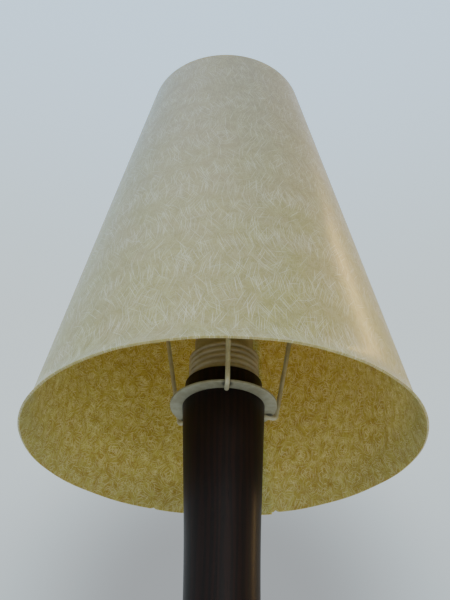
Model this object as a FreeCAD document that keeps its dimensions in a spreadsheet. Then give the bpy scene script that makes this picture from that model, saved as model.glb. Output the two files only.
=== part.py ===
"""Table lamp: turned hardwood column on a weighted foot, E27 lampholder, wire carrier and conical shade.

Frame: +Z up, the table top at z = 0, the column's axis on the Z axis. Millimetres and degrees.
The front strut of the carrier points to -Y and the cord inlet to +Y.
"""
import FreeCAD, Part
import math
import os

import Sketcher

PARTS_FOLDER = "parts"

# name, value, what it is
DRIVING_SIZES = (
    ("rim_height", 190.0, "height of the shade's lower rim above the table"),
    ("shade_height", 261.0, "height of the shade"),
    ("rim_radius", 110.0, "outer radius of the shade at its lower rim"),
    ("flare_width", 2.4, "how far the lip stands outside the straight cone at the rim"),
    ("top_radius", 52.5, "outer radius of the shade at its top"),
    ("sheet", 1.2, "thickness of the shade's sheet"),
    ("flare_rise", 12.0, "height of the lip's outward curve"),
    ("flare_bend", 38.0, "radius of the lip's outward curve"),
    ("lap_angle", 9.0, "angle over which the sheet's ends overlap"),
    ("lap_azimuth", 73.0, "where the overlap starts"),
    ("lap_share", 0.8, "how far the outer end stands out, as a share of the sheet"),
    ("seat_rise", 22.0, "height of the column's shoulder above the rim"),
    ("neck_rise", 14.6, "height of the neck above the shoulder"),
    ("neck_wall", 4.9, "wall of the neck round the recess"),
    ("shoulder_width", 1.1, "width of the column's shoulder"),
    ("taper_radius", 20.1, "radius of the column where the straight taper ends"),
    ("taper_length", 62.0, "length of the straight taper below the shoulder"),
    ("waist_radius", 18.9, "smallest radius of the column"),
    ("waist_drop", 54.0, "height of the taper's end above the waist"),
    ("column_foot_radius", 24.0, "radius of the column where it meets the foot"),
    ("bore_gap", 0.4, "gap round the stem tube in the bore"),
    ("cup_gap", 0.5, "gap round the lampholder in the neck's recess"),
    ("nut_room", 3.0, "room between the upper nut and the lampholder"),
    ("tenon_radius", 12.0, "radius of the column's tenon"),
    ("tenon_room", 1.5, "room between the tenon and the cavity"),
    ("glue_gap", 0.1, "gap round the tenon and round the pieces set in the foot"),
    ("foot_radius", 65.0, "radius of the foot"),
    ("foot_wall", 17.0, "width of the wood round the cavity"),
    ("foot_edge", 15.0, "height of the foot's upright edge above the table"),
    ("foot_top", 26.0, "height of the foot's top where the column stands on it"),
    ("foot_dome", 78.0, "radius of the foot's domed top"),
    ("edge_round", 1.5, "rounding of the foot's lower edge"),
    ("felt", 1.5, "thickness of the felt"),
    ("felt_margin", 4.0, "how far the felt stays inside the foot's edge"),
    ("cavity_depth", 12.0, "depth of the cavity above the felt"),
    ("weight_gap", 2.0, "gap round the iron weight"),
    ("weight_room", 0.4, "room between the weight's screws and the felt"),
    ("eye_room", 8.0, "room between the lower washer and the weight"),
    ("weight_slot", 9.0, "width of the cord's slot in the weight"),
    ("cut_past", 1.0, "how far a cut runs past the material"),
    ("screw_radius", 1.75, "radius of the weight's screws"),
    ("screw_bite", 4.0, "length of the weight's screws in the foot"),
    ("screw_head_radius", 3.5, "radius of the screws' heads"),
    ("screw_head", 1.6, "height of the screws' heads"),
    ("screw_gap", 0.15, "gap round the weight's screws"),
    ("inlet_rise", 1.0, "height of the cord inlet above the middle of the cavity"),
    ("inlet_bore", 3.1, "radius of the cord inlet's bore"),
    ("inlet_barrel", 4.2, "radius of the inlet bush's barrel"),
    ("inlet_flange", 5.8, "radius of the inlet bush's flange"),
    ("inlet_lip", 1.2, "thickness of the inlet bush's flange"),
    ("tube_radius", 5.0, "outer radius of the threaded stem tube"),
    ("tube_bore", 3.8, "bore of the stem tube"),
    ("tube_end", 1.0, "length of the stem tube past the lower nut"),
    ("tube_grip", 6.0, "length of the stem tube inside the holder's cap"),
    ("tube_cover", 1.0, "height of the cap's boss above the stem tube"),
    ("thread_gap", 0.05, "gap between the stem tube and what is screwed on it"),
    ("washer_gap", 3.0, "gap round the washers in the recess"),
    ("washer", 1.5, "thickness of the washers"),
    ("nut_wall", 3.05, "thickness of the nuts at their corners"),
    ("nut", 4.5, "height of the nuts"),
    ("skirt_wall", 4.6, "wall of the skirt between its ribs"),
    ("rib_depth", 1.2, "depth of the skirt's ribs"),
    ("rib_share", 0.42, "half of a rib's width as a share of the spacing"),
    ("rib_sink", 0.2, "how far the ribs start inside the skirt"),
    ("rib_run", 0.8, "height of the slope above the last rib"),
    ("rib_pitch", 3.5, "spacing of the skirt's ribs"),
    ("rib_count", 5.0, "number of the skirt's ribs"),
    ("rib_crest", 0.9, "width of a rib's crest"),
    ("collar_rise", 12.0, "height of the collar"),
    ("collar_wall", 2.75, "wall of the collar"),
    ("collar_round", 1.2, "rounding of the collar's top"),
    ("skirt_gap", 0.45, "gap between the screw shell and the skirt"),
    ("spigot_wall", 0.7, "wall of the skirt's spigot"),
    ("spigot", 6.0, "length of the skirt's spigot"),
    ("cap_floor", 3.0, "thickness of the cap's floor"),
    ("cap_wall", 1.3, "wall of the holder's cap"),
    ("ledge_width", 1.5, "width of the ledge that carries the insert"),
    ("boss_wall", 2.95, "wall of the boss that grips the stem tube"),
    ("cap_ledge", 12.0, "depth of the ledge that carries the insert"),
    ("part_gap", 0.2, "gap between the lampholder's nested pieces"),
    ("insert_rise", 1.0, "height of the insert's face above the neck's top"),
    ("thread_play", 0.3, "play of the bulb's cap in the screw shell"),
    ("shell_wall", 0.5, "wall of the holder's screw shell"),
    ("shell_lip", 4.0, "width of the screw shell's bottom lip"),
    ("shell_length", 24.0, "length of the holder's screw shell"),
    ("contact_width", 5.0, "width of the centre contact"),
    ("contact_reach", 7.0, "half the length of the centre contact"),
    ("contact_plate", 0.5, "thickness of the centre contact"),
    ("contact_lift", 2.0, "how far the centre contact rises"),
    ("contact_flat", 3.15, "half the length of the centre contact's raised end"),
    ("contact_crook", 0.7, "how far the raised end starts before the axis"),
    ("contact_swell", 0.3, "how far the contact's slope starts before the bend"),
    ("terminal_inset", 4.6, "distance of the terminal screws from the ledge's edge"),
    ("terminal_room", 0.6, "room between the terminal screws and the boss"),
    ("terminal_radius", 1.5, "radius of the terminal screws"),
    ("terminal_head_radius", 2.4, "radius of the terminal screws' heads"),
    ("terminal_head", 1.4, "height of the terminal screws' heads"),
    ("terminal_length", 5.0, "length of the terminal screws in the insert"),
    ("ring", 1.4, "thickness of the carrier's ring"),
    ("ring_gap", 0.08, "running clearance of the ring on the neck"),
    ("ring_width", 8.02, "width of the carrier's ring"),
    ("tip_gap", 1.3, "gap between the struts' feet and the column's shoulder"),
    ("wire_radius", 1.3, "radius of the struts' and the hoop's wire"),
    ("wire_bend", 2.2, "radius of the bend in each strut"),
    ("strut_lean", 11.5, "angle of the struts from upright"),
    ("weld_sink", 0.12, "how far welded wires sink into each other"),
    ("rest_gap", 0.3, "gap between the hoop and the shade's inner face"),
    ("bulb_radius", 30.0, "radius of the bulb's glass"),
    ("bulb_length", 105.0, "length of the bulb over all"),
    ("bulb_neck_gap", 0.15, "gap between the bulb's glass neck and its cap"),
    ("glass_set", 5.0, "length of the glass neck inside the cap"),
    ("glass", 0.6, "thickness of the bulb's glass"),
    ("bulb_angle", 38.0, "angle of the bulb's shoulder from upright"),
    ("bulb_cap_radius", 13.05, "radius of the bulb's cap"),
    ("bulb_cap_wall", 0.3, "wall of the bulb's cap"),
    ("bulb_cap_length", 20.0, "length of the bulb's cap"),
    ("bulb_cap_slope", 2.0, "width and height of the slope under the bulb's cap"),
    ("bulb_tip", 2.6, "height of the bulb's insulator"),
    ("bulb_button_radius", 4.6, "radius of the bulb's bottom contact"),
    ("bulb_button", 1.0, "height of the bulb's bottom contact"),
    ("button_margin", 1.0, "width of the insulator round the bottom contact"),
    ("bulb_gap", 0.25, "gap between the bulb and the centre contact"),
    ("mount_radius", 4.0, "radius of the bulb's glass mount"),
    ("mount_height", 34.0, "height of the bulb's glass mount"),
    ("mount_flange", 0.8, "height of the mount's flange"),
    ("mount_flare", 10.0, "height of the mount's flare"),
    ("mount_taper", 0.6, "radius of the mount's top as a share of its stem"),
    ("leg_spread", 1.2, "distance of the filament's legs from the axis at the mount"),
    ("filament_radius", 0.5, "radius of the filament's coil and of its wires"),
    ("filament_span", 9.0, "radius of the filament's bow"),
    ("filament_rise", 16.0, "height of the filament above the mount"),
)

STRUTS = (("front", -86.5), ("right", 20.5), ("left", 143.0))
SCREW_AZIMUTHS = (30.0, 150.0, 270.0)


class Size:
    """A length that holds its value now and the sheet's expression for it."""

    def __init__(self, value, text):
        self.value = float(value)
        self.text = text

    @staticmethod
    def of(other):
        """Wrap a bare number."""
        return other if isinstance(other, Size) else Size(other, repr(float(other)))

    def joined(self, other, sign, value):
        return Size(value, "(" + self.text + " " + sign + " " + Size.of(other).text + ")")

    def __add__(self, other):
        return self.joined(other, "+", self.value + Size.of(other).value)

    def __sub__(self, other):
        return self.joined(other, "-", self.value - Size.of(other).value)

    def __mul__(self, other):
        return self.joined(other, "*", self.value * Size.of(other).value)

    def __truediv__(self, other):
        return self.joined(other, "/", self.value / Size.of(other).value)

    def __radd__(self, other):
        return Size.of(other) + self

    def __rsub__(self, other):
        return Size.of(other) - self

    def __rmul__(self, other):
        return Size.of(other) * self


def sine(angle):
    return Size(math.sin(math.radians(angle.value)), "sin(" + angle.text + " * 1 deg)")


def cosine(angle):
    return Size(math.cos(math.radians(angle.value)), "cos(" + angle.text + " * 1 deg)")


def arcsine(ratio):
    return Size(math.degrees(math.asin(ratio.value)), "(asin(" + ratio.text + ") / 1 deg)")


def arctangent(ratio):
    return Size(math.degrees(math.atan(ratio.value)), "(atan(" + ratio.text + ") / 1 deg)")


class Sizes:
    """The driving sizes by name, each bound to its own cell of the sheet."""

    def __init__(self, doc):
        sheet = doc.addObject("Spreadsheet::Sheet", "Sizes")
        for row, (name, value, note) in enumerate(DRIVING_SIZES, start=1):
            sheet.set("A%d" % row, name)
            sheet.set("B%d" % row, str(value))
            sheet.setAlias("B%d" % row, name)
            sheet.set("C%d" % row, note)
            setattr(self, name, Size(value, "Sizes." + name))
        doc.recompute()


doc = FreeCAD.newDocument("TableLamp")
s = Sizes(doc)
ZERO = Size(0, "0")
nodes = []

# Radii that follow from the bulb's cap outwards.
shell_bore = s.bulb_cap_radius + s.thread_play
skirt_bore = shell_bore + s.shell_wall + s.skirt_gap
collar_radius = skirt_bore + s.collar_wall
rib_root = skirt_bore + s.skirt_wall
rib_radius = rib_root + s.rib_depth
insert_radius = skirt_bore - s.part_gap
cap_ledge_radius = insert_radius - s.ledge_width
terminal_offset = cap_ledge_radius - s.terminal_inset
spigot_radius = skirt_bore + s.spigot_wall
cap_mouth = spigot_radius + s.part_gap
cap_radius = cap_mouth + s.cap_wall
cup_radius = cap_radius + s.cup_gap
neck_radius = cup_radius + s.neck_wall
shoulder_radius = neck_radius + s.shoulder_width
ring_bore = neck_radius + s.ring_gap
ring_radius = ring_bore + s.ring_width
foot_tip = shoulder_radius + s.tip_gap

# Radii that follow from the stem tube and from the foot.
tube_eye = s.tube_radius + s.thread_gap
nut_corner = tube_eye + s.nut_wall
cap_boss_radius = tube_eye + s.boss_wall
bore_radius = s.tube_radius + s.bore_gap
washer_radius = cup_radius - s.washer_gap
cavity_radius = s.foot_radius - s.foot_wall
weight_radius = cavity_radius - s.weight_gap
weight_eye = washer_radius + s.eye_room
screw_circle = (weight_radius + weight_eye) / 2.0
weight_height = s.cavity_depth - s.screw_head - s.weight_room
screw_length = weight_height + s.screw_bite

# Heights that several pieces share.
shoulder = s.rim_height + s.seat_rise
neck_top = shoulder + s.neck_rise
cap_boss = s.tube_grip + s.tube_cover
cap_depth = s.cap_ledge + cap_boss + s.terminal_head + s.terminal_room
cup_depth = cap_depth + s.nut_room + s.nut + s.washer
cup_floor = neck_top - cup_depth
cavity_top = s.felt + s.cavity_depth
tenon_length = s.foot_top - cavity_top - s.tenon_room
inlet_height = s.felt + s.cavity_depth / 2.0 + s.inlet_rise
cap_bottom = neck_top - cap_depth
tube_bottom = cavity_top - s.washer - s.nut - s.tube_end
insert_face = neck_top + s.insert_rise
shell_rest = insert_face + s.part_gap
wire_line = shoulder - s.wire_radius
lean_sine = sine(s.strut_lean)
lean_cosine = cosine(s.strut_lean)
lean_slope = lean_sine / lean_cosine
cone_radius = s.rim_radius - s.flare_width
cone_slope = (cone_radius - s.top_radius) / s.shade_height


# ---------------------------------------------------------------- drawing helpers

def set_height(thing, height):
    thing.setExpression("Placement.Base.z", height.text)


def new_body(label):
    body = doc.addObject("PartDesign::Body", label)
    body.Label = label
    nodes.append(body)
    return body


def origin_item(body, role):
    """A plane or an axis of a body's own origin."""
    return next(item for item in body.Origin.OriginFeatures if item.Role == role)


def new_sketch(body, name, role):
    sketch = body.newObject("Sketcher::SketchObject", body.Label + "_" + name)
    sketch.AttachmentSupport = [(origin_item(body, role), "")]
    sketch.MapMode = "FlatFace"
    return sketch


def arc_between(start, end, radius):
    """The short arc from start to end; a positive radius turns left, a negative one right."""
    chord = end - start
    half = chord.Length / 2.0
    rise = math.sqrt(max(radius * radius - half * half, 0.0))
    left = FreeCAD.Vector(-chord.y, chord.x, 0).normalize()
    side = 1.0 if radius > 0 else -1.0
    centre = (start + end) * 0.5 + left * rise * side
    circle = Part.Circle(centre, FreeCAD.Vector(0, 0, 1), abs(radius))
    first = math.atan2(start.y - centre.y, start.x - centre.x)
    last = math.atan2(end.y - centre.y, end.x - centre.x)
    if radius < 0:
        first, last = last, first
    return Part.ArcOfCircle(circle, first, last)


def pin(sketch, geometry, point, place):
    """Hold one end of a piece of geometry at its place."""
    for kind, axis, size in (("DistanceX", -2, place[0]), ("DistanceY", -1, place[1])):
        if abs(size.value) < 1e-9:
            sketch.addConstraint(Sketcher.Constraint("PointOnObject", geometry, point, axis))
            continue
        index = sketch.addConstraint(Sketcher.Constraint(kind, -1, 1, geometry, point, size.value))
        sketch.setExpression("Constraints[%d]" % index, size.text)


def draw(sketch, points, bends=None, closed=True):
    """Draw straight edges through points; bends gives an edge's radius by its index."""
    bends = bends or {}
    places = [FreeCAD.Vector(x.value, y.value, 0) for x, y in points]
    edges = len(points) if closed else len(points) - 1
    starts = []
    for index in range(edges):
        start, end = places[index], places[(index + 1) % len(points)]
        if index in bends:
            radius = bends[index]
            sketch.addGeometry(arc_between(start, end, radius.value), False)
            turned_left = radius.value > 0
            starts.append((1, 2) if turned_left else (2, 1))
            limit = abs(radius.value)
            size = sketch.addConstraint(Sketcher.Constraint("Radius", index, limit))
            sketch.setExpression("Constraints[%d]" % size, "abs(" + radius.text + ")")
        else:
            sketch.addGeometry(Part.LineSegment(start, end), False)
            starts.append((1, 2))
    for index in range(edges):
        pin(sketch, index, starts[index][0], points[index])
    if not closed:
        pin(sketch, edges - 1, starts[-1][1], points[-1])
    for index in range(edges if closed else edges - 1):
        other = (index + 1) % edges
        sketch.addConstraint(
            Sketcher.Constraint("Coincident", index, starts[index][1], other, starts[other][0]))


def revolve(body, name, points, bends=None, angle=None):
    """Turn an outline in the XZ plane about the Z axis."""
    sketch = new_sketch(body, name + "_outline", "XZ_Plane")
    draw(sketch, points, bends)
    turn = body.newObject("PartDesign::Revolution", body.Label + "_" + name)
    turn.Profile = sketch
    turn.ReferenceAxis = (sketch, ["V_Axis"])
    if angle is None:
        turn.Angle = 360
    else:
        turn.setExpression("Angle", angle.text)
    return turn


def turned(label, height, points, bends=None):
    """A piece turned about the Z axis; its outline starts from its own foot."""
    body = new_body(label)
    revolve(body, "turning", points, bends)
    set_height(body, height)
    return body


def ring_points(inner, outer, height):
    return [(inner, ZERO), (outer, ZERO), (outer, height), (inner, height)]


def disc_points(radius, height):
    return [(ZERO, ZERO), (radius, ZERO), (radius, height), (ZERO, height)]


def through_cut(body, name, role, draw_shape, depth, reverse=False):
    """Pocket a sketch into a body and make sure that it removes material."""
    sketch = new_sketch(body, name + "_outline", role)
    draw_shape(sketch)
    doc.recompute()
    before = body.Shape.Volume
    cut = body.newObject("PartDesign::Pocket", body.Label + "_" + name)
    cut.Profile = sketch
    cut.Reversed = reverse
    cut.setExpression("Length", depth.text)
    doc.recompute()
    if not body.Shape.Volume < before - 1e-3:
        raise RuntimeError(body.Label + "_" + name + " cuts nothing")
    return cut


def circle_at(sketch, x, y, radius):
    """A round hole or a disc in a sketch."""
    centre = FreeCAD.Vector(x.value, y.value, 0)
    index = sketch.addGeometry(Part.Circle(centre, FreeCAD.Vector(0, 0, 1), radius.value), False)
    pin(sketch, index, 3, (x, y))
    size = sketch.addConstraint(Sketcher.Constraint("Radius", index, radius.value))
    sketch.setExpression("Constraints[%d]" % size, radius.text)


def primitive(kind, name, **sizes):
    """A Part primitive whose properties follow the sheet."""
    thing = doc.addObject("Part::" + kind, name)
    for key, size in sizes.items():
        thing.setExpression(key, size.text)
    return thing


def boolean(kind, name, base, tool):
    thing = doc.addObject("Part::" + kind, name)
    thing.Base = base
    thing.Tool = tool
    return thing


def joined_group(label, pieces):
    """Solids of one kind kept as a group in one node."""
    group = doc.addObject("Part::Compound", label)
    group.Label = label
    group.Links = pieces
    nodes.append(group)
    return group


# ---------------------------------------------------------------- foot

def make_felt():
    turned("foot_felt", ZERO, disc_points(s.foot_radius - s.felt_margin, s.felt))


def make_foot():
    """The turned foot: upright edge, domed top, cavity below and a hole for the column's tenon."""
    hole = s.tenon_radius + s.glue_gap
    points = [
        (cavity_radius, ZERO),
        (s.foot_radius - s.edge_round, ZERO),
        (s.foot_radius, s.edge_round),
        (s.foot_radius, s.foot_edge - s.felt),
        (s.column_foot_radius, s.foot_top - s.felt),
        (hole, s.foot_top - s.felt),
        (hole, s.cavity_depth),
        (cavity_radius, s.cavity_depth),
    ]
    foot = turned("foot_turned", s.felt, points, {1: s.edge_round, 3: s.foot_dome})
    through_cut(foot, "inlet", "XZ_Plane",
                lambda sketch: circle_at(sketch, ZERO, inlet_height - s.felt, s.inlet_barrel + s.glue_gap),
                s.foot_radius + s.cut_past)

    def screw_holes(sketch):
        for azimuth in SCREW_AZIMUTHS:
            turn = math.radians(azimuth)
            circle_at(sketch, screw_circle * math.cos(turn), screw_circle * math.sin(turn), s.screw_radius)

    through_cut(foot, "screw_holes", "XY_Plane", screw_holes,
                screw_length - weight_height + s.cavity_depth, reverse=True)


def make_weight():
    """A cast ring screwed up into the cavity, with a slot for the cord."""
    top = s.cavity_depth
    points = ring_points(weight_eye, weight_radius, weight_height)
    weight = turned("foot_weight", s.felt + top - weight_height, points)

    def slot(sketch):
        half = s.weight_slot / 2.0
        near = weight_eye - s.cut_past
        far = weight_radius + s.cut_past
        draw(sketch, [(-1.0 * half, near), (half, near), (half, far), (-1.0 * half, far)])

    through_cut(weight, "slot", "XY_Plane", slot, weight_height + s.cut_past, reverse=True)

    def holes(sketch):
        for azimuth in SCREW_AZIMUTHS:
            turn = math.radians(azimuth)
            circle_at(sketch, screw_circle * math.cos(turn), screw_circle * math.sin(turn),
                      s.screw_radius + s.screw_gap)

    through_cut(weight, "holes", "XY_Plane", holes, weight_height + s.cut_past, reverse=True)


def make_weight_screws():
    """Three pan-head screws that hold the weight to the foot."""
    screws = []
    head_bottom = s.felt + s.cavity_depth - weight_height - s.screw_head
    for number, azimuth in enumerate(SCREW_AZIMUTHS, start=1):
        turn = math.radians(azimuth)
        shank = primitive("Cylinder", "screw_shank_%d" % number, Radius=s.screw_radius,
                          Height=screw_length + s.screw_head / 2.0)
        head = primitive("Cylinder", "screw_head_%d" % number, Radius=s.screw_head_radius,
                         Height=s.screw_head)
        for piece, height in ((shank, head_bottom + s.screw_head / 2.0), (head, head_bottom)):
            piece.setExpression("Placement.Base.x", (screw_circle * math.cos(turn)).text)
            piece.setExpression("Placement.Base.y", (screw_circle * math.sin(turn)).text)
            set_height(piece, height)
        screws.append(boolean("Fuse", "weight_screw_%d" % number, shank, head))
    joined_group("weight_screws", screws)


def make_inlet_bush():
    """The flanged bush that lines the cord's hole at the back of the foot."""
    length = s.foot_radius - cavity_radius
    points = [
        (s.inlet_bore, ZERO), (s.inlet_barrel, ZERO), (s.inlet_barrel, length),
        (s.inlet_flange, length), (s.inlet_flange, length + s.inlet_lip), (s.inlet_bore, length + s.inlet_lip),
    ]
    bush = turned("cord_inlet_bush", inlet_height, points)
    bush.Placement = FreeCAD.Placement(FreeCAD.Vector(0, 0, 0), FreeCAD.Rotation(FreeCAD.Vector(1, 0, 0), -90))
    bush.setExpression("Placement.Base.y", (cavity_radius + s.glue_gap).text)
    set_height(bush, inlet_height)


# ---------------------------------------------------------------- column

def make_column():
    """The turned column: tenon, waist, straight taper, shoulder, neck and the recess in its top."""
    foot = tenon_length
    top = neck_top - s.foot_top + tenon_length
    seat = top - s.neck_rise
    waist = seat - s.taper_length - s.waist_drop
    floor = top - cup_depth
    upper_bend = (s.waist_drop * s.waist_drop + (s.taper_radius - s.waist_radius)
                  * (s.taper_radius - s.waist_radius)) / (2.0 * (s.taper_radius - s.waist_radius))
    rise = waist - foot
    swell = s.column_foot_radius - s.waist_radius
    lower_bend = (rise * rise + swell * swell) / (2.0 * swell)
    points = [
        (bore_radius, ZERO),
        (s.tenon_radius, ZERO),
        (s.tenon_radius, foot),
        (s.column_foot_radius, foot),
        (s.waist_radius, waist),
        (s.taper_radius, waist + s.waist_drop),
        (shoulder_radius, seat),
        (neck_radius, seat),
        (neck_radius, top),
        (cup_radius, top),
        (cup_radius, floor),
        (bore_radius, floor),
    ]
    turned("column_turned", s.foot_top - tenon_length, points,
           {3: -1.0 * lower_bend, 4: -1.0 * upper_bend})


def make_stem():
    """The threaded tube that clamps the column to the foot, with its washers and nuts."""
    tube_top = cap_bottom + s.tube_grip
    turned("stem_tube", tube_bottom, ring_points(s.tube_bore, s.tube_radius, tube_top - tube_bottom))
    for name, washer_at, nut_at in (("lower", cavity_top - s.washer, cavity_top - s.washer - s.nut),
                                    ("upper", cup_floor, cup_floor + s.washer)):
        turned(name + "_washer", washer_at, ring_points(tube_eye, washer_radius, s.washer))
        block = primitive("Prism", name + "_nut_block", Circumradius=nut_corner, Height=s.nut)
        block.Polygon = 6
        thread = primitive("Cylinder", name + "_nut_thread", Radius=tube_eye, Height=s.nut)
        nut = boolean("Cut", name + "_nut", block, thread)
        nut.Label = name + "_nut"
        set_height(nut, nut_at)
        nodes.append(nut)


# ---------------------------------------------------------------- lampholder

def make_holder_cap():
    """The moulded cap in the neck's recess: it grips the stem tube and carries the insert."""
    ledge = cap_depth - s.cap_ledge
    top = cap_depth - s.part_gap
    points = [
        (tube_eye, ZERO), (cap_radius, ZERO), (cap_radius, top), (cap_mouth, top), (cap_mouth, ledge),
        (cap_ledge_radius, ledge), (cap_ledge_radius, s.cap_floor), (cap_boss_radius, s.cap_floor),
        (cap_boss_radius, cap_boss), (tube_eye, cap_boss),
    ]
    turned("holder_cap", cap_bottom, points)


def make_insert():
    """The porcelain insert with two terminal screws in its underside."""
    bottom = neck_top - s.cap_ledge
    insert = turned("holder_insert", bottom, disc_points(insert_radius, insert_face - bottom))

    def holes(sketch):
        for side in (-1.0, 1.0):
            circle_at(sketch, terminal_offset * side, ZERO, s.terminal_radius + s.thread_gap)

    through_cut(insert, "terminal_holes", "XY_Plane", holes, s.terminal_length + s.cut_past, reverse=True)
    screws = []
    for number, side in enumerate((-1.0, 1.0), start=1):
        shank = primitive("Cylinder", "terminal_shank_%d" % number, Radius=s.terminal_radius,
                          Height=s.terminal_length + s.terminal_head / 2.0)
        head = primitive("Cylinder", "terminal_head_%d" % number, Radius=s.terminal_head_radius,
                         Height=s.terminal_head)
        for piece, height in ((shank, bottom - s.terminal_head / 2.0), (head, bottom - s.terminal_head)):
            piece.setExpression("Placement.Base.x", (terminal_offset * side).text)
            set_height(piece, height)
        screws.append(boolean("Fuse", "terminal_screw_%d" % number, shank, head))
    joined_group("terminal_screws", screws)


def make_contacts():
    """The brass screw shell and the sprung centre contact."""
    outer = shell_bore + s.shell_wall
    lip = shell_bore - s.shell_lip
    points = [
        (lip, ZERO), (outer, ZERO), (outer, s.shell_length), (shell_bore, s.shell_length),
        (shell_bore, s.shell_wall), (lip, s.shell_wall),
    ]
    turned("holder_screw_shell", insert_face, points)

    contact = new_body("holder_centre_contact")
    sketch = new_sketch(contact, "strip_outline", "XZ_Plane")
    reach, plate, lift = s.contact_reach, s.contact_plate, s.contact_lift
    flat = s.contact_flat
    draw(sketch, [(-1.0 * reach, ZERO), (-1.0 * flat, ZERO), (ZERO, lift - plate), (flat, lift - plate),
                  (flat, lift), (-1.0 * s.contact_crook, lift), (-1.0 * flat - s.contact_swell, plate),
                  (-1.0 * reach, plate)])
    pad = contact.newObject("PartDesign::Pad", "holder_centre_contact_strip")
    pad.Profile = sketch
    pad.Midplane = True
    pad.setExpression("Length", s.contact_width.text)
    set_height(contact, insert_face)


def make_skirt():
    """The ribbed skirt: a spigot in the cap, round ribs outside and a smooth collar on top."""
    spigot = s.spigot
    ribs = s.rib_pitch * s.rib_count
    collar = spigot + ribs
    top = collar + s.collar_rise
    points = [
        (skirt_bore, ZERO), (spigot_radius, ZERO), (spigot_radius, spigot), (rib_root, spigot),
        (rib_root, collar), (collar_radius, collar + s.rib_run), (collar_radius, top - s.collar_round),
        (collar_radius - s.collar_round, top), (skirt_bore, top),
    ]
    skirt = turned("holder_skirt", neck_top - spigot, points, {6: s.collar_round})
    half_crest = s.rib_crest / 2.0
    root = rib_root - s.rib_sink
    middle = spigot + s.rib_pitch / 2.0
    flank = s.rib_pitch * s.rib_share
    revolve(skirt, "rib", [
        (root, middle - flank), (rib_radius, middle - half_crest), (rib_radius, middle + half_crest),
        (root, middle + flank)])
    pattern = skirt.newObject("PartDesign::LinearPattern", "holder_skirt_ribs")
    pattern.Originals = [doc.getObject("holder_skirt_rib")]
    pattern.Direction = (origin_item(skirt, "Z_Axis"), [""])
    pattern.setExpression("Length", (s.rib_pitch * (s.rib_count - 1.0)).text)
    pattern.setExpression("Occurrences", s.rib_count.text)
    skirt.Tip = pattern


# ---------------------------------------------------------------- carrier

hoop_gap = (s.wire_radius + s.rest_gap) / cosine(arctangent(cone_slope))
bend_end_radius = ring_radius + s.wire_bend * lean_cosine
bend_end_height = wire_line + s.wire_bend - s.wire_bend * lean_sine
inner_cone_at_rim = cone_radius - s.sheet
hoop_height = (inner_cone_at_rim - hoop_gap - bend_end_radius + lean_slope * bend_end_height
               + cone_slope * s.rim_height) / (lean_slope + cone_slope)
hoop_radius = bend_end_radius + lean_slope * (hoop_height - bend_end_height)
strut_run = (hoop_height - bend_end_height) / lean_cosine - s.wire_radius + s.weld_sink


def make_ring():
    """The flat ring that rests on the column's shoulder and turns round its neck."""
    turned("carrier_ring", shoulder, ring_points(ring_bore, ring_radius, s.ring))


def make_hoop():
    """The wire hoop that the shade's cone rests on."""
    hoop = primitive("Torus", "carrier_hoop", Radius1=hoop_radius, Radius2=s.wire_radius)
    set_height(hoop, hoop_height)
    nodes.append(hoop)


def make_struts():
    """Three wires welded under the ring, bent up round its edge and leaning out to the hoop."""
    for name, azimuth in STRUTS:
        strut = new_body("carrier_strut_" + name)
        path = new_sketch(strut, "path", "XZ_Plane")
        end = (bend_end_radius, bend_end_height - wire_line)
        tip = (end[0] + strut_run * lean_sine, end[1] + strut_run * lean_cosine)
        draw(path, [(foot_tip, ZERO), (ring_radius, ZERO), end, tip], {1: s.wire_bend}, closed=False)
        wire = new_sketch(strut, "section", "YZ_Plane")
        wire.setExpression("AttachmentOffset.Base.z", foot_tip.text)
        circle_at(wire, ZERO, ZERO, s.wire_radius)
        pipe = strut.newObject("PartDesign::AdditivePipe", strut.Label + "_wire")
        pipe.Profile = wire
        pipe.Spine = (path, ["Edge1", "Edge2", "Edge3"])
        strut.Placement = FreeCAD.Placement(FreeCAD.Vector(0, 0, 0),
                                            FreeCAD.Rotation(FreeCAD.Vector(0, 0, 1), azimuth))
        set_height(strut, wire_line + s.weld_sink)


# ---------------------------------------------------------------- shade

def make_shade():
    """The rolled sheet: a straight cone with a flared lip, its ends lapped along one line."""
    shade = new_body("shade_sheet")
    lip_radius = cone_radius - cone_slope * s.flare_rise

    def cone(offset):
        outside = offset
        inside = offset - s.sheet
        return [
            (s.rim_radius + inside, ZERO),
            (s.rim_radius + outside, ZERO),
            (lip_radius + outside, s.flare_rise),
            (s.top_radius + outside, s.shade_height),
            (s.top_radius + inside, s.shade_height),
            (lip_radius + inside, s.flare_rise),
        ]

    bends = {1: -1.0 * s.flare_bend, 5: s.flare_bend}
    revolve(shade, "cone", cone(ZERO), bends)
    revolve(shade, "lap", cone(s.sheet * s.lap_share), bends, angle=s.lap_angle)
    shade.Placement = FreeCAD.Placement(FreeCAD.Vector(0, 0, 0), FreeCAD.Rotation(FreeCAD.Vector(0, 0, 1), 0))
    shade.setExpression("Placement.Rotation.Angle", s.lap_azimuth.text + " * 1 deg")
    set_height(shade, s.rim_height)


# ---------------------------------------------------------------- bulb

bulb_bottom = insert_face + s.contact_lift + s.bulb_gap
bulb_cap_bottom = bulb_bottom + s.bulb_button + s.bulb_tip
bulb_cap_top = bulb_cap_bottom + s.bulb_cap_length
bulb_middle = bulb_bottom + s.bulb_length - s.bulb_radius
bulb_neck = s.bulb_cap_radius - s.bulb_cap_wall - s.bulb_neck_gap
filament_lean = arcsine((s.filament_span - s.leg_spread) / s.filament_rise)


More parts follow.
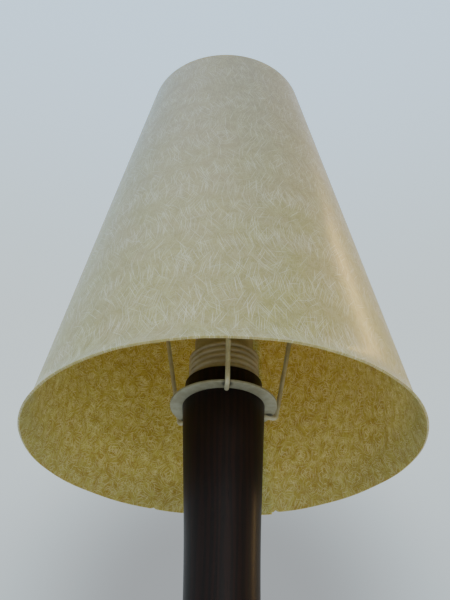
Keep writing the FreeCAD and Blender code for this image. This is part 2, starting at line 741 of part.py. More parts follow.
def bulb_outline(offset, bottom):
    """Half the glass from the neck over the shoulder to the crown, from its own foot."""
    angle_sine, angle_cosine = sine(s.bulb_angle), cosine(s.bulb_angle)
    radius = s.bulb_radius - offset
    middle = bulb_middle - bottom
    neck = bulb_neck - offset
    cheek_radius = radius * angle_cosine
    cheek_height = middle - radius * angle_sine
    neck_height = cheek_height - (cheek_radius - neck) * angle_cosine / angle_sine
    return neck, neck_height, (cheek_radius, cheek_height), (ZERO, middle + radius), radius


def make_bulb():
    """A pear-shaped lamp: cap, insulator, bottom contact, glass, mount and filament."""
    wall = s.bulb_cap_wall
    slope = s.bulb_cap_slope
    cap_foot = s.bulb_cap_radius - slope
    turned("bulb_cap_shell", bulb_cap_bottom,
           [(s.bulb_button_radius, ZERO), (cap_foot, ZERO), (s.bulb_cap_radius, slope),
            (s.bulb_cap_radius, s.bulb_cap_length), (s.bulb_cap_radius - wall, s.bulb_cap_length),
            (s.bulb_cap_radius - wall, slope + wall), (cap_foot - wall, wall),
            (s.bulb_button_radius, wall)])
    turned("bulb_insulator", bulb_bottom + s.bulb_button,
           [(ZERO, ZERO), (s.bulb_button_radius, ZERO), (cap_foot, s.bulb_tip), (ZERO, s.bulb_tip)])
    turned("bulb_contact", bulb_bottom, disc_points(s.bulb_button_radius - s.button_margin, s.bulb_button))

    glass_bottom = bulb_cap_top - s.glass_set
    neck, neck_height, cheek, crown, radius = bulb_outline(ZERO, glass_bottom)
    bore, bore_height, inner_cheek, inner_crown, inner_radius = bulb_outline(s.glass, glass_bottom)
    turned("bulb_envelope", glass_bottom,
           [(bore, ZERO), (neck, ZERO), (neck, neck_height), cheek, crown, inner_crown, inner_cheek,
            (bore, bore_height)],
           {3: radius, 5: -1.0 * inner_radius})

    turned("bulb_mount", glass_bottom,
           [(ZERO, ZERO), (bore - s.part_gap, ZERO), (bore - s.part_gap, s.mount_flange),
            (s.mount_radius, s.mount_flare), (s.mount_radius * s.mount_taper, s.mount_height),
            (ZERO, s.mount_height)])
    make_filament(glass_bottom + s.mount_height)


def make_filament(leg_foot):
    """Two legs that spread from the mount and carry the bowed coil."""
    legs = []
    for number, side in enumerate((-1.0, 1.0), start=1):
        leg = primitive("Cylinder", "filament_leg_%d" % number, Radius=s.filament_radius,
                        Height=s.filament_rise)
        leg.Placement = FreeCAD.Placement(
            FreeCAD.Vector(0, 0, 0),
            FreeCAD.Rotation(FreeCAD.Vector(0, side, 0), filament_lean.value))
        leg.setExpression("Placement.Rotation.Angle", filament_lean.text + " * 1 deg")
        leg.setExpression("Placement.Base.x", (s.leg_spread * side).text)
        set_height(leg, leg_foot)
        legs.append(leg)
    coil = primitive("Torus", "filament_coil", Radius1=s.filament_span, Radius2=s.filament_radius)
    coil.Angle3 = 180
    set_height(coil, leg_foot + s.filament_rise * cosine(filament_lean))
    frame = boolean("Fuse", "filament_legs_joined", *legs)
    filament = boolean("Fuse", "bulb_filament", frame, coil)
    filament.Label = "bulb_filament"
    nodes.append(filament)


# ---------------------------------------------------------------- build and write

def check(thing):
    states = [state for state in thing.State if state in ("Invalid", "Error")]
    if states:
        raise RuntimeError(thing.Name + " failed: " + ", ".join(states))


def write_parts():
    doc.recompute()
    for thing in doc.Objects:
        check(thing)
    os.makedirs(PARTS_FOLDER, exist_ok=True)
    for node in nodes:
        if node.Shape.isNull() or not node.Shape.isValid():
            raise RuntimeError(node.Label + " has no valid shape")
    for node in nodes:
        node.Shape.exportStep(os.path.join(PARTS_FOLDER, node.Label + ".step"))
        print("%-24s solids %d  volume %.1f" % (node.Label, len(node.Shape.Solids), node.Shape.Volume))


make_felt()
make_foot()
make_weight()
make_weight_screws()
make_inlet_bush()
make_column()
make_stem()
make_holder_cap()
make_insert()
make_contacts()
make_skirt()
make_ring()
make_hoop()
make_struts()
make_shade()
make_bulb()
write_parts()
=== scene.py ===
"""Dresses a table lamp: turned rosewood, rolled fibreglass shade, wire carrier, lampholder and bulb."""
import logging
import math
from dataclasses import dataclass
from enum import Enum

import bmesh
import bpy
from mathutils import Matrix, Vector


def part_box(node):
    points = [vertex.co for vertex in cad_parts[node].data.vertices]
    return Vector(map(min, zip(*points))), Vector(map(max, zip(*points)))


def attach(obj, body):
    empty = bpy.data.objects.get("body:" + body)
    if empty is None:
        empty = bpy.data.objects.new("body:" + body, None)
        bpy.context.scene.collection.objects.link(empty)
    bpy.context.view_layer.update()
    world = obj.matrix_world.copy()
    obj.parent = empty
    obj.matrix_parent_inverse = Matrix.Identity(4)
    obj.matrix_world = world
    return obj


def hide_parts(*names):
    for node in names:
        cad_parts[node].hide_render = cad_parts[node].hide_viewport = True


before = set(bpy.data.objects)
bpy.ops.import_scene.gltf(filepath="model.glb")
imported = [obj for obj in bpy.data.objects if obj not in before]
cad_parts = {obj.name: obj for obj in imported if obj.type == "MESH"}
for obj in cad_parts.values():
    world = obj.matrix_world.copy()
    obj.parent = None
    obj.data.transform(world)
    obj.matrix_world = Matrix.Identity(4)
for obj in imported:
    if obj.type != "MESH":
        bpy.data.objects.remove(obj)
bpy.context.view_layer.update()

MM = 0.001
SHEET_MAP = "unrolled"

log = logging.getLogger("lamp")


# ------------------------------------------------------------------ node graphs

class Value:
    """One output of a node graph; arithmetic on it adds Math nodes."""

    def __init__(self, graph: "Graph", socket: bpy.types.NodeSocket) -> None:
        """Keep the graph and the socket."""
        self.graph = graph
        self.socket = socket

    def math(self, operation: str, *values: "Value | float") -> "Value":
        """Add a Math node that starts from this value.

        Args:
            operation: The Math node's operation.
            values: Its other inputs.

        Returns:
            The node's result.
        """
        return self.graph.node("ShaderNodeMath", {"operation": operation},
                               {0: self, **dict(enumerate(values, start=1))})

    def __add__(self, other: "Value | float") -> "Value":
        """Sum."""
        return self.math("ADD", other)

    def __radd__(self, other: float) -> "Value":
        """Sum, from the right."""
        return self.math("ADD", other)

    def __sub__(self, other: "Value | float") -> "Value":
        """Difference."""
        return self.math("SUBTRACT", other)

    def __rsub__(self, other: float) -> "Value":
        """Difference, from the right."""
        return self.graph.node("ShaderNodeMath", {"operation": "SUBTRACT"}, {0: other, 1: self})

    def __mul__(self, other: "Value | float") -> "Value":
        """Product."""
        return self.math("MULTIPLY", other)

    def __rmul__(self, other: float) -> "Value":
        """Product, from the right."""
        return self.math("MULTIPLY", other)

    def step(self, low: float, high: float) -> "Value":
        """Ramp smoothly from 0 to 1 between two values.

        Args:
            low: Where the result is 0.
            high: Where the result is 1; below low it runs the other way.

        Returns:
            The smooth mask.
        """
        return self.graph.node("ShaderNodeMapRange",
                               {"interpolation_type": "SMOOTHSTEP"},
                               {"Value": self, "From Min": low, "From Max": high})


Triple = tuple[float, float, float]
Colour = Triple
Span = tuple[float, float]
Input = Value | float | Colour | Vector


class Graph:
    """The node graph of a material or of the sky, emptied at the start."""

    def __init__(self, name: str, owner: bpy.types.World | None = None) -> None:
        """Start an empty graph.

        Args:
            name: The new material's name.
            owner: A world to draw in, in place of a new material.
        """
        self.owner = owner or bpy.data.materials.new(name)
        self.owner.use_nodes = True
        self.tree = self.owner.node_tree
        self.tree.nodes.clear()

    def node(self, kind: str, settings: dict[str, object] | None = None,
             inputs: dict[str | int, Input] | None = None, output: str | int = 0) -> Value:
        """Add one node.

        Args:
            kind: The node's type.
            settings: Its own properties, set first.
            inputs: Values or links for its sockets, by name or place.
            output: Which of its outputs is wanted.

        Returns:
            The chosen output.
        """
        node = self.tree.nodes.new(kind)
        for name, setting in (settings or {}).items():
            setattr(node, name, setting)
        for name, value in (inputs or {}).items():
            self.feed(node.inputs[name], value)
        return Value(self, node.outputs[output])

    def feed(self, socket: bpy.types.NodeSocket, value: Input) -> None:
        """Link a value to a socket, or set the socket's own value.

        Args:
            socket: The input socket.
            value: What it is to hold; a colour of three parts gets an alpha of 1.
        """
        if isinstance(value, Value):
            self.tree.links.new(value.socket, socket)
        elif isinstance(value, (int, float)):
            socket.default_value = value
        else:
            parts = tuple(value)
            socket.default_value = parts + (1.0,) * (len(socket.default_value) - len(parts))

    def place(self, turn: Triple = (0, 0, 0), scale: Triple = (1, 1, 1), flat: str | None = None) -> Value:
        """Give the coordinates of a pattern.

        Args:
            turn: Rotation in degrees.
            scale: Scale along each axis.
            flat: A UV map to read in place of object coordinates.

        Returns:
            The mapped coordinates.
        """
        if flat:
            source = self.node("ShaderNodeUVMap", {"uv_map": flat})
        else:
            source = self.node("ShaderNodeTexCoord", output="Object")
        return self.node("ShaderNodeMapping", None, {
            "Vector": source, "Rotation": tuple(math.radians(angle) for angle in turn), "Scale": scale})

    def noise(self, where: Value, scale: float, detail: float = 4.0, roughness: float = 0.5,
              flat: bool = False, output: str = "Fac") -> Value:
        """Add soft noise.

        Args:
            where: The pattern's coordinates.
            scale: How many waves there are to a metre.
            detail: How many finer layers it has.
            roughness: How strong the finer layers are.
            flat: Whether only X and Y count.
            output: Which of its outputs is wanted.

        Returns:
            The noise.
        """
        return self.node("ShaderNodeTexNoise", {"noise_dimensions": "2D" if flat else "3D"},
                         {"Vector": where, "Scale": scale, "Detail": detail, "Roughness": roughness}, output)

    def mix(self, factor: Value | float, low: Value | Colour, high: Value | Colour) -> Value:
        """Blend two colours.

        Args:
            factor: How much of the second colour shows.
            low: The first colour.
            high: The second colour.

        Returns:
            The blended colour.
        """
        return self.node("ShaderNodeMix", {"data_type": "RGBA", "clamp_factor": True},
                         {0: factor, 6: low, 7: high}, 2)

    def vector(self, operation: str, *values: Input, output: int = 0) -> Value:
        """Add a Vector Math node."""
        return self.node("ShaderNodeVectorMath", {"operation": operation}, dict(enumerate(values)), output)

    def bump(self, height: Value, strength: float, depth: float) -> Value:
        """Turn a height into a normal.

        Args:
            height: The height, from 0 to 1.
            strength: How much the bump shows.
            depth: The height of 1 in metres.

        Returns:
            The bumped normal.
        """
        return self.node("ShaderNodeBump", None, {"Height": height, "Strength": strength, "Distance": depth})

    def surface(self, **sockets: Input) -> bpy.types.Material:
        """Finish the material with one Principled surface.

        Args:
            sockets: The surface's sockets, with _ for each space.

        Returns:
            The material.
        """
        inputs = {name.replace("_", " "): value for name, value in sockets.items()}
        self.show(self.node("ShaderNodeBsdfPrincipled", None, inputs), "ShaderNodeOutputMaterial")
        return self.owner

    def show(self, shader: Value, kind: str) -> None:
        """Link a shader to an output node of its kind."""
        output = self.tree.nodes.new(kind)
        self.tree.links.new(shader.socket, output.inputs["Surface"])


# ------------------------------------------------------------------ finishes

@dataclass(frozen=True)
class Rosewood:
    """Dark turned rosewood under a satin lacquer."""

    name: str = "rosewood_upright"
    turn: Triple = (0.0, 0.0, 0.0)
    dark: Colour = (0.0075, 0.0047, 0.0043)
    warm: Colour = (0.0135, 0.0058, 0.0047)
    pore: Colour = (0.0020, 0.0014, 0.0013)

    def make(self) -> bpy.types.Material:
        """Build the finish: growth bands, long streaks, pores and a soft lacquer.

        Returns:
            The material.
        """
        graph = Graph(self.name)
        grain = graph.place(self.turn, (1.0, 1.0, 0.045))
        sway = graph.noise(graph.place(self.turn, (1.0, 1.0, 0.25)), 38.0, 3.0, output="Color")
        bent = graph.node("ShaderNodeVectorMath", {"operation": "MULTIPLY_ADD"},
                          {0: sway, 1: (0.006, 0.006, 0.006), 2: grain})
        bands = graph.node("ShaderNodeTexWave", {"wave_type": "BANDS", "bands_direction": "X"},
                           {"Vector": bent, "Scale": 96.0, "Distortion": 6.5, "Detail": 4.0,
                            "Detail Scale": 1.6}, "Fac")
        streaks = graph.noise(grain, 420.0, 6.0, 0.62)
        fine = graph.noise(graph.place(self.turn, (1.0, 1.0, 0.018)), 2300.0, 3.0, 0.6)
        mask = (bands * 0.55 + streaks * 0.6).step(0.32, 0.86)
        colour = graph.mix(mask, self.dark, self.warm)
        pores = fine.step(0.60, 0.72)
        colour = graph.mix(pores * 0.7, colour, self.pore)
        smear = graph.noise(graph.place(self.turn, (1.0, 1.0, 0.4)), 90.0, 3.0)
        roughness = 0.40 + smear * 0.12 + pores * 0.08
        bumped = graph.bump(fine, 0.22, 0.00012)
        return graph.surface(Base_Color=colour, Roughness=roughness, Normal=bumped, Specular_IOR_Level=0.12,
                             Coat_Weight=0.06, Coat_Roughness=0.22)


@dataclass(frozen=True)
class FibreLayer:
    """One direction of loose glass fibres in the sheet, sizes in millimetres."""

    turn: float
    spacing: float
    length: float
    width: float
    keep: float
    seed: float = 0.0

    def mask(self, graph: Graph, where: Value) -> Value:
        """Draw the layer's fibres.

        Args:
            graph: The graph to draw in.
            where: Flat coordinates in metres, already swayed.

        Returns:
            A mask of 1 on the fibres, with each fibre's own strength.
        """
        across = 1.0 / (self.spacing * MM)
        along = self.width / (self.spacing * self.length * MM)
        turned = graph.node("ShaderNodeMapping", {"vector_type": "POINT"}, {
            "Vector": where, "Rotation": (0.0, 0.0, math.radians(self.turn))})
        laid = graph.node("ShaderNodeMapping", None, {
            "Vector": turned, "Scale": (along, across, 1.0), "Location": (self.seed, self.seed * 1.7, 0.0)})
        cells = graph.node("ShaderNodeTexVoronoi", {"voronoi_dimensions": "2D", "feature": "F1"},
                           {"Vector": laid, "Scale": 1.0, "Randomness": 1.0})
        own = graph.node("ShaderNodeSeparateColor", None,
                         {0: Value(graph, cells.socket.node.outputs["Color"])})
        half = self.width / self.spacing / 2.0
        fibre = cells.step(half * 1.25, half * 0.5)
        return fibre * own.step(1.0 - self.keep, 1.0 - self.keep * 0.2)


class Side(Enum):
    """The two faces of the sheet."""

    OUTER = "outer"
    INNER = "inner"


@dataclass(frozen=True)
class Fibreglass:
    """Resin sheet with loose glass fibres: pale and satin outside, golden inside, the inside's gold partly a
    painted glow of light through the sheet.
    """

    side: Side
    green_resin: Colour = (0.320, 0.288, 0.096)
    beige_resin: Colour = (0.338, 0.284, 0.122)
    thin_resin: Colour = (0.245, 0.215, 0.062)
    # painted grey reflection laid over the upper part of the outside
    grey_top_painted_reflection: Colour = (0.235, 0.198, 0.130)
    pale_grain: Colour = (0.440, 0.415, 0.220)
    short_fibre: Colour = (0.500, 0.475, 0.290)
    long_fibre: Colour = (0.72, 0.70, 0.57)
    steep: tuple[float, ...] = (131.0, 123.0, 140.0, 116.0, 147.0, 108.0, 156.0, 98.0, 167.0)
    crossing: tuple[float, ...] = (82.0, 4.0, 56.0)
    slanted: tuple[float, ...] = (126.0, 137.0, 114.0, 150.0, 95.0, 172.0, 70.0, 20.0, 47.0)
    # honey, amber and straw: the resin's own tones brightened by a painted glow of light through the sheet
    honey_with_painted_glow: Colour = (0.520, 0.460, 0.105)
    amber_with_painted_glow: Colour = (0.450, 0.370, 0.065)
    straw_with_painted_glow: Colour = (0.620, 0.590, 0.180)
    # painted warm glow towards the top of the inside
    orange_top_painted_glow: Colour = (0.760, 0.540, 0.110)
    brown_fibre: Colour = (0.330, 0.175, 0.020)
    brown_speck: Colour = (0.480, 0.270, 0.040)
    light_fibre: Colour = (0.880, 0.860, 0.480)
    # painted shade near the lower rim of the inside
    rim_painted_shade: Colour = (0.070, 0.070, 0.010)
    dark_ways: tuple[float, ...] = (9.0, 42.0, 78.0, 112.0, 141.0, 168.0)
    light_ways: tuple[float, ...] = (24.0, 60.0, 95.0, 126.0, 155.0, 180.0)

    def make(self) -> bpy.types.Material:
        """Build the face's finish.

        Returns:
            The material.
        """
        graph = Graph("fibreglass_" + self.side.value)
        flat = graph.place(flat=SHEET_MAP)
        if self.side is Side.OUTER:
            return self.outer(graph, flat, self.sway(graph, flat, 22.0, 0.0042))
        return self.inner(graph, flat, self.sway(graph, flat, 80.0, 0.0045))

    @staticmethod
    def sway(graph: Graph, flat: Value, scale: float, reach: float) -> Value:
        """Bend the flat coordinates so that the fibres don't run straight.

        Args:
            graph: The graph to draw in.
            flat: Flat coordinates in metres.
            scale: How many bends there are to a metre.
            reach: How far a bend goes, in metres.

        Returns:
            The bent coordinates.
        """
        noise = graph.noise(flat, scale, 0.0, flat=True, output="Color")
        centred = graph.vector("SUBTRACT", noise, (0.5, 0.5, 0.5))
        return graph.node("ShaderNodeVectorMath", {"operation": "MULTIPLY_ADD"},
                          {0: centred, 1: (reach, reach, 0.0), 2: flat})

    def outer(self, graph: Graph, flat: Value, swayed: Value) -> bpy.types.Material:
        """Build the pale outside: clouded resin with white fibres, greyed and faded towards the top by a
        painted grey reflection.

        Args:
            graph: The graph to draw in.
            flat: Flat coordinates in metres.
            swayed: The same, bent for the fibres.

        Returns:
            The material.
        """
        clouds = graph.noise(flat, 34.0, 4.0, 0.6, flat=True)
        mottle = graph.noise(flat, 190.0, 4.0, 0.65, flat=True)
        colour = graph.mix(clouds.step(0.35, 0.68), self.green_resin, self.beige_resin)
        colour = graph.mix(mottle.step(0.38, 0.66) * 0.55, colour, self.thin_resin)
        rise = graph.node("ShaderNodeSeparateXYZ", None, {0: graph.place()}, "Z")
        # painted grey reflection: the outside turns greyer and darker towards the top
        height = rise.step(0.200, 0.440)
        colour = graph.mix(height * 0.8, colour, self.grey_top_painted_reflection)
        grains = graph.noise(flat, 900.0, 3.0, 0.6, flat=True)
        colour = graph.mix(grains.step(0.52, 0.74) * 0.3, colour, self.pale_grain)
        upright_ones = self.layers(graph, swayed, self.steep, 0.62, 12.0, 0.23, 0.24)
        crossing_ones = self.layers(graph, swayed, self.crossing, 0.8, 10.0, 0.23, 0.12)
        long_ones = upright_ones.math("MAXIMUM", crossing_ones)
        short_ones = self.layers(graph, swayed, self.slanted, 0.42, 4.5, 0.19, 0.45)
        colour = graph.mix(short_ones * 0.44, colour, self.short_fibre)
        # the white fibres fade towards the top under the painted grey reflection
        colour = graph.mix(long_ones * (0.54 - height * 0.22), colour, self.long_fibre)
        relief = long_ones * 0.6 + short_ones * 0.3 + grains * 0.35
        bumped = graph.bump(relief, 0.5, 0.00010)
        roughness = 0.40 + mottle * 0.10 - long_ones * 0.08
        return graph.surface(Base_Color=colour, Roughness=roughness, Normal=bumped, Specular_IOR_Level=0.2,
                             Coat_Weight=0.37, Coat_Roughness=0.23, **self.glow())

    def inner(self, graph: Graph, flat: Value, swayed: Value) -> bpy.types.Material:
        """Build the golden inside: matt resin whose gold is partly a painted glow, with dark and light fibres
        that swirl, a painted warm glow towards the top and painted shade near the rim.

        Args:
            graph: The graph to draw in.
            flat: Flat coordinates in metres.
            swayed: The same, bent for the fibres.

        Returns:
            The material.
        """
        clouds = graph.noise(flat, 30.0, 4.0, 0.6, flat=True)
        mottle = graph.noise(flat, 230.0, 4.0, 0.7, flat=True)
        # golden base: resin tones with a painted glow of light through the sheet
        colour = graph.mix(clouds.step(0.34, 0.68), self.honey_with_painted_glow, self.amber_with_painted_glow)
        colour = graph.mix(mottle.step(0.34, 0.70) * 0.6, colour, self.straw_with_painted_glow)
        rise = graph.node("ShaderNodeSeparateXYZ", None, {0: graph.place()}, "Z")
        # painted warm glow: the inside turns brighter orange towards the top
        colour = graph.mix(rise.step(0.205, 0.330) * 0.35, colour, self.orange_top_painted_glow)
        dark = self.layers(graph, swayed, self.dark_ways, 0.7, 5.0, 0.32, 0.6)
        light = self.layers(graph, swayed, self.light_ways, 0.65, 4.5, 0.28, 0.6)
        speckle = graph.noise(flat, 1100.0, 3.0, 0.7, flat=True)
        colour = graph.mix(dark * 0.75, colour, self.brown_fibre)
        colour = graph.mix(speckle.step(0.54, 0.70) * 0.45, colour, self.brown_speck)
        colour = graph.mix(light * 0.7, colour, self.light_fibre)
        # painted shade: the inside darkens towards its lower rim
        colour = graph.mix(rise.step(0.220, 0.189) * 0.34, colour, self.rim_painted_shade)
        bumped = graph.bump(light * 0.5 + mottle * 0.5 - dark * 0.3, 0.35, 0.00010)
        return graph.surface(Base_Color=colour, Roughness=0.62 + mottle * 0.1, Normal=bumped,
                             Specular_IOR_Level=0.32, **self.glow())

    @staticmethod
    def glow() -> dict[str, Input]:
        """The sockets that let light through the thin sheet."""
        return {"Subsurface_Weight": 0.6, "Subsurface_Radius": (1.0, 0.8, 0.3), "Subsurface_Scale": 0.003}

    @staticmethod
    def layers(graph: Graph, where: Value, turns: tuple[float, ...], spacing: float, length: float,
               width: float, keep: float) -> Value:
        """Lay several layers of fibres over each other.

        Args:
            graph: The graph to draw in.
            where: Flat coordinates in metres.
            turns: Each layer's direction in degrees.
            spacing: Distance between fibres in millimetres.
            length: Length of a fibre's cell in millimetres.
            width: Width of a fibre in millimetres.
            keep: Share of the cells that show a fibre.

        Returns:
            The strongest of the layers' masks.
        """
        masks = [FibreLayer(turn, spacing, length, width, keep, seed=turn * 0.37 + length).mask(graph, where)
                 for turn in turns]
        total = masks[0]
        for mask in masks[1:]:
            total = total.math("MAXIMUM", mask)
        return total


@dataclass(frozen=True)
class CutEdge:
    """The sheet's cut edge: pale resin with fibre ends."""

    name: str = "fibreglass_edge"

    def make(self) -> bpy.types.Material:
        """Build the finish.

        Returns:
            The material.
        """
        graph = Graph(self.name)
        ends = graph.noise(graph.place(), 1500.0, 3.0, 0.6)
        colour = graph.mix(ends.step(0.40, 0.62), (0.440, 0.430, 0.200), (0.540, 0.530, 0.290))
        bumped = graph.bump(ends, 0.4, 0.00015)
        return graph.surface(Base_Color=colour, Roughness=0.5 + ends * 0.2, Normal=bumped)


@dataclass(frozen=True)
class PlatedSteel:
    """Dull plated steel with smears, fine scratches and dark burns near the welds."""

    name: str
    colour: Colour
    shade: Colour
    roughness: float = 0.42
    metallic: float = 0.75
    burns: tuple[Triple, ...] = ()
    burn: Colour = (0.030, 0.028, 0.024)

    def make(self) -> bpy.types.Material:
        """Build the finish.

        Returns:
            The material.
        """
        graph = Graph(self.name)
        where = graph.place()
        smears = graph.noise(where, 140.0, 5.0, 0.62)
        spots = graph.noise(where, 1100.0, 4.0, 0.6)
        lines = graph.noise(graph.place((0, 0, 32.0), (1.0, 0.06, 1.0)), 2600.0, 2.0)
        colour = graph.mix(smears.step(0.32, 0.70), self.colour, self.shade)
        colour = graph.mix(spots.step(0.60, 0.74) * 0.35, colour, tuple(0.4 * part for part in self.shade))
        for place in self.burns:
            gap = graph.vector("DISTANCE", where, place, output=1)
            scorch = (gap + smears * 0.0022).step(0.0050, 0.0024)
            colour = graph.mix(scorch * 0.8, colour, self.burn)
        bumped = graph.bump(lines * 0.5 + spots * 0.5, 0.18, 0.00006)
        return graph.surface(Base_Color=colour, Metallic=self.metallic,
                             Roughness=self.roughness + smears * 0.16 + lines * 0.06, Normal=bumped)


@dataclass(frozen=True)
class Moulding:
    """Moulded thermoset: cream, a little mottled, with dust in its hollows."""

    name: str = "cream_moulding"
    colour: Colour = (0.400, 0.310, 0.165)
    shade: Colour = (0.330, 0.245, 0.115)
    roughness: float = 0.42

    def make(self) -> bpy.types.Material:
        """Build the finish.

        Returns:
            The material.
        """
        graph = Graph(self.name)
        flow = graph.noise(graph.place(scale=(1.0, 1.0, 2.2)), 95.0, 5.0, 0.6)
        dust = graph.noise(graph.place(), 800.0, 4.0, 0.6)
        colour = graph.mix(flow.step(0.34, 0.68), self.colour, self.shade)
        colour = graph.mix(dust.step(0.56, 0.72) * 0.3, colour, tuple(1.25 * part for part in self.colour))
        bumped = graph.bump(dust, 0.15, 0.00008)
        return graph.surface(Base_Color=colour, Roughness=self.roughness + dust * 0.12, Normal=bumped,
                             Coat_Weight=0.15, Coat_Roughness=0.25)


@dataclass(frozen=True)
class BareMetal:
    """Brass, zinc or rolled cap metal with a turned or drawn surface."""

    name: str
    colour: Colour
    tarnish: Colour
    roughness: float = 0.28

    def make(self) -> bpy.types.Material:
        """Build the finish.

        Returns:
            The material.
        """
        graph = Graph(self.name)
        cloud = graph.noise(graph.place(), 210.0, 5.0, 0.6)
        lines = graph.noise(graph.place(scale=(0.05, 0.05, 1.0)), 3200.0, 2.0)
        colour = graph.mix(cloud.step(0.40, 0.74), self.colour, self.tarnish)
        bumped = graph.bump(lines, 0.12, 0.00005)
        return graph.surface(Base_Color=colour, Metallic=1.0,
                             Roughness=self.roughness + cloud * 0.14 + lines * 0.08, Normal=bumped)


@dataclass(frozen=True)
class Casting:
    """Sand-cast iron under thin black paint, with a little rust."""

    name: str = "cast_iron"

    def make(self) -> bpy.types.Material:
        """Build the finish.

        Returns:
            The material.
        """
        graph = Graph(self.name)
        sand = graph.noise(graph.place(), 950.0, 6.0, 0.7)
        rust = graph.noise(graph.place(), 120.0, 5.0, 0.7)
        colour = graph.mix(sand, (0.018, 0.018, 0.019), (0.045, 0.044, 0.045))
        colour = graph.mix(rust.step(0.60, 0.76) * 0.7, colour, (0.130, 0.045, 0.016))
        bumped = graph.bump(sand, 0.7, 0.0004)
        return graph.surface(Base_Color=colour, Roughness=0.62 + sand * 0.2, Normal=bumped)


@dataclass(frozen=True)
class Felt:
    """Pressed wool felt: matt, with tangled hairs."""

    name: str = "felt"
    colour: Colour = (0.018, 0.046, 0.026)
    light: Colour = (0.050, 0.095, 0.060)

    def make(self) -> bpy.types.Material:
        """Build the finish.

        Returns:
            The material.
        """
        graph = Graph(self.name)
        tangle = graph.noise(graph.place(), 1300.0, 7.0, 0.75)
        hairs = graph.noise(graph.place((0, 0, 40.0), (1.0, 0.12, 1.0)), 2400.0, 3.0)
        worn = graph.noise(graph.place(), 45.0, 3.0)
        colour = graph.mix((tangle * 0.6 + hairs * 0.4).step(0.38, 0.66), self.colour, self.light)
        colour = graph.mix(worn.step(0.50, 0.74) * 0.3, colour, (0.070, 0.085, 0.060))
        bumped = graph.bump(tangle * 0.5 + hairs * 0.5, 0.8, 0.0003)
        return graph.surface(Base_Color=colour, Roughness=0.9 + tangle * 0.08, Normal=bumped,
                             Sheen_Weight=0.35, Sheen_Roughness=0.5)


@dataclass(frozen=True)
class Glaze:
    """Glazed porcelain or glass filler: glossy, faintly clouded."""

    name: str
    colour: Colour
    shade: Colour

    def make(self) -> bpy.types.Material:
        """Build the finish.

        Returns:
            The material.
        """
        graph = Graph(self.name)
        cloud = graph.noise(graph.place(), 160.0, 4.0)
        specks = graph.noise(graph.place(), 1400.0, 3.0)
        colour = graph.mix(cloud.step(0.35, 0.7), self.colour, self.shade)
        colour = graph.mix(specks.step(0.68, 0.76) * 0.4, colour, tuple(0.6 * part for part in self.shade))
        bumped = graph.bump(cloud, 0.1, 0.0002)
        return graph.surface(Base_Color=colour, Roughness=0.12 + cloud * 0.1, Normal=bumped)


@dataclass(frozen=True)
class ClearGlass:
    """Blown clear glass with faint waves and a film of dust."""

    name: str = "clear_glass"

    def make(self) -> bpy.types.Material:
        """Build the finish.

        Returns:
            The material.
        """
        graph = Graph(self.name)
        waves = graph.noise(graph.place(), 55.0, 2.0)
        dust = graph.noise(graph.place(), 420.0, 5.0, 0.7)
        colour = graph.mix(dust.step(0.55, 0.75) * 0.25, (0.97, 0.98, 0.98), (0.80, 0.79, 0.76))
        bumped = graph.bump(waves, 0.05, 0.0006)
        return graph.surface(Base_Color=colour, Roughness=0.02 + dust.step(0.55, 0.8) * 0.08, Normal=bumped,
                             Transmission_Weight=1.0, IOR=1.45)


# ------------------------------------------------------------------ shaping

@dataclass(frozen=True)
class Corner:
    """A corner of an outline: distance from the axis, height and rounding, in millimetres."""

    out: float
    up: float
    round: float = 0.0

    def place(self) -> Vector:
        """The corner in the XZ plane, in metres."""
        return Vector((self.out * MM, 0.0, self.up * MM))


def arc_corners(start: Corner, end: Corner, bend: float, pieces: int) -> list[Corner]:
    """Work out the corners of an arc, its ends left out.

    Args:
        start: Where the arc starts.
        end: Where it ends.
        bend: Its radius; positive bulges to the right of the way from start to end.
        pieces: How many straight pieces it is cut into.

    Returns:
        The corners between the ends.
    """
    first, last = Vector((start.out, start.up)), Vector((end.out, end.up))
    chord = last - first
    rise = math.sqrt(max(bend * bend - chord.length_squared / 4.0, 0.0))
    side = Vector((-chord.y, chord.x)).normalized() * math.copysign(1.0, bend)
    middle = (first + last) / 2.0 + side * rise
    sweep = (first - middle).angle_signed(last - middle)
    return [Corner(*(middle + Matrix.Rotation(-sweep * step / pieces, 2) @ (first - middle)))
            for step in range(1, pieces)]


def rounded(corners: list[Corner], closed: bool = True, pieces: int = 5) -> list[Vector]:
    """Round an outline's corners.

    Args:
        corners: The outline's corners in order.
        closed: Whether the last corner joins the first.
        pieces: How many straight pieces a rounding is cut into.

    Returns:
        The outline's points in metres.
    """
    points: list[Vector] = []
    count = len(corners)
    for index, corner in enumerate(corners):
        here = corner.place()
        is_end = not closed and index in (0, count - 1)
        if corner.round <= 0.0 or is_end:
            points.append(here)
            continue
        before = (corners[index - 1].place() - here).normalized()
        after = (corners[(index + 1) % count].place() - here).normalized()
        half = before.angle(after) / 2.0
        reach = corner.round * MM / math.tan(half)
        centre = here + (before + after).normalized() * (corner.round * MM / math.sin(half))
        start = (here + before * reach - centre).normalized()
        end = (here + after * reach - centre).normalized()
        for step in range(pieces + 1):
            points.append(centre + start.slerp(end, step / pieces) * corner.round * MM)
    return points


Element = bmesh.types.BMVert | bmesh.types.BMEdge


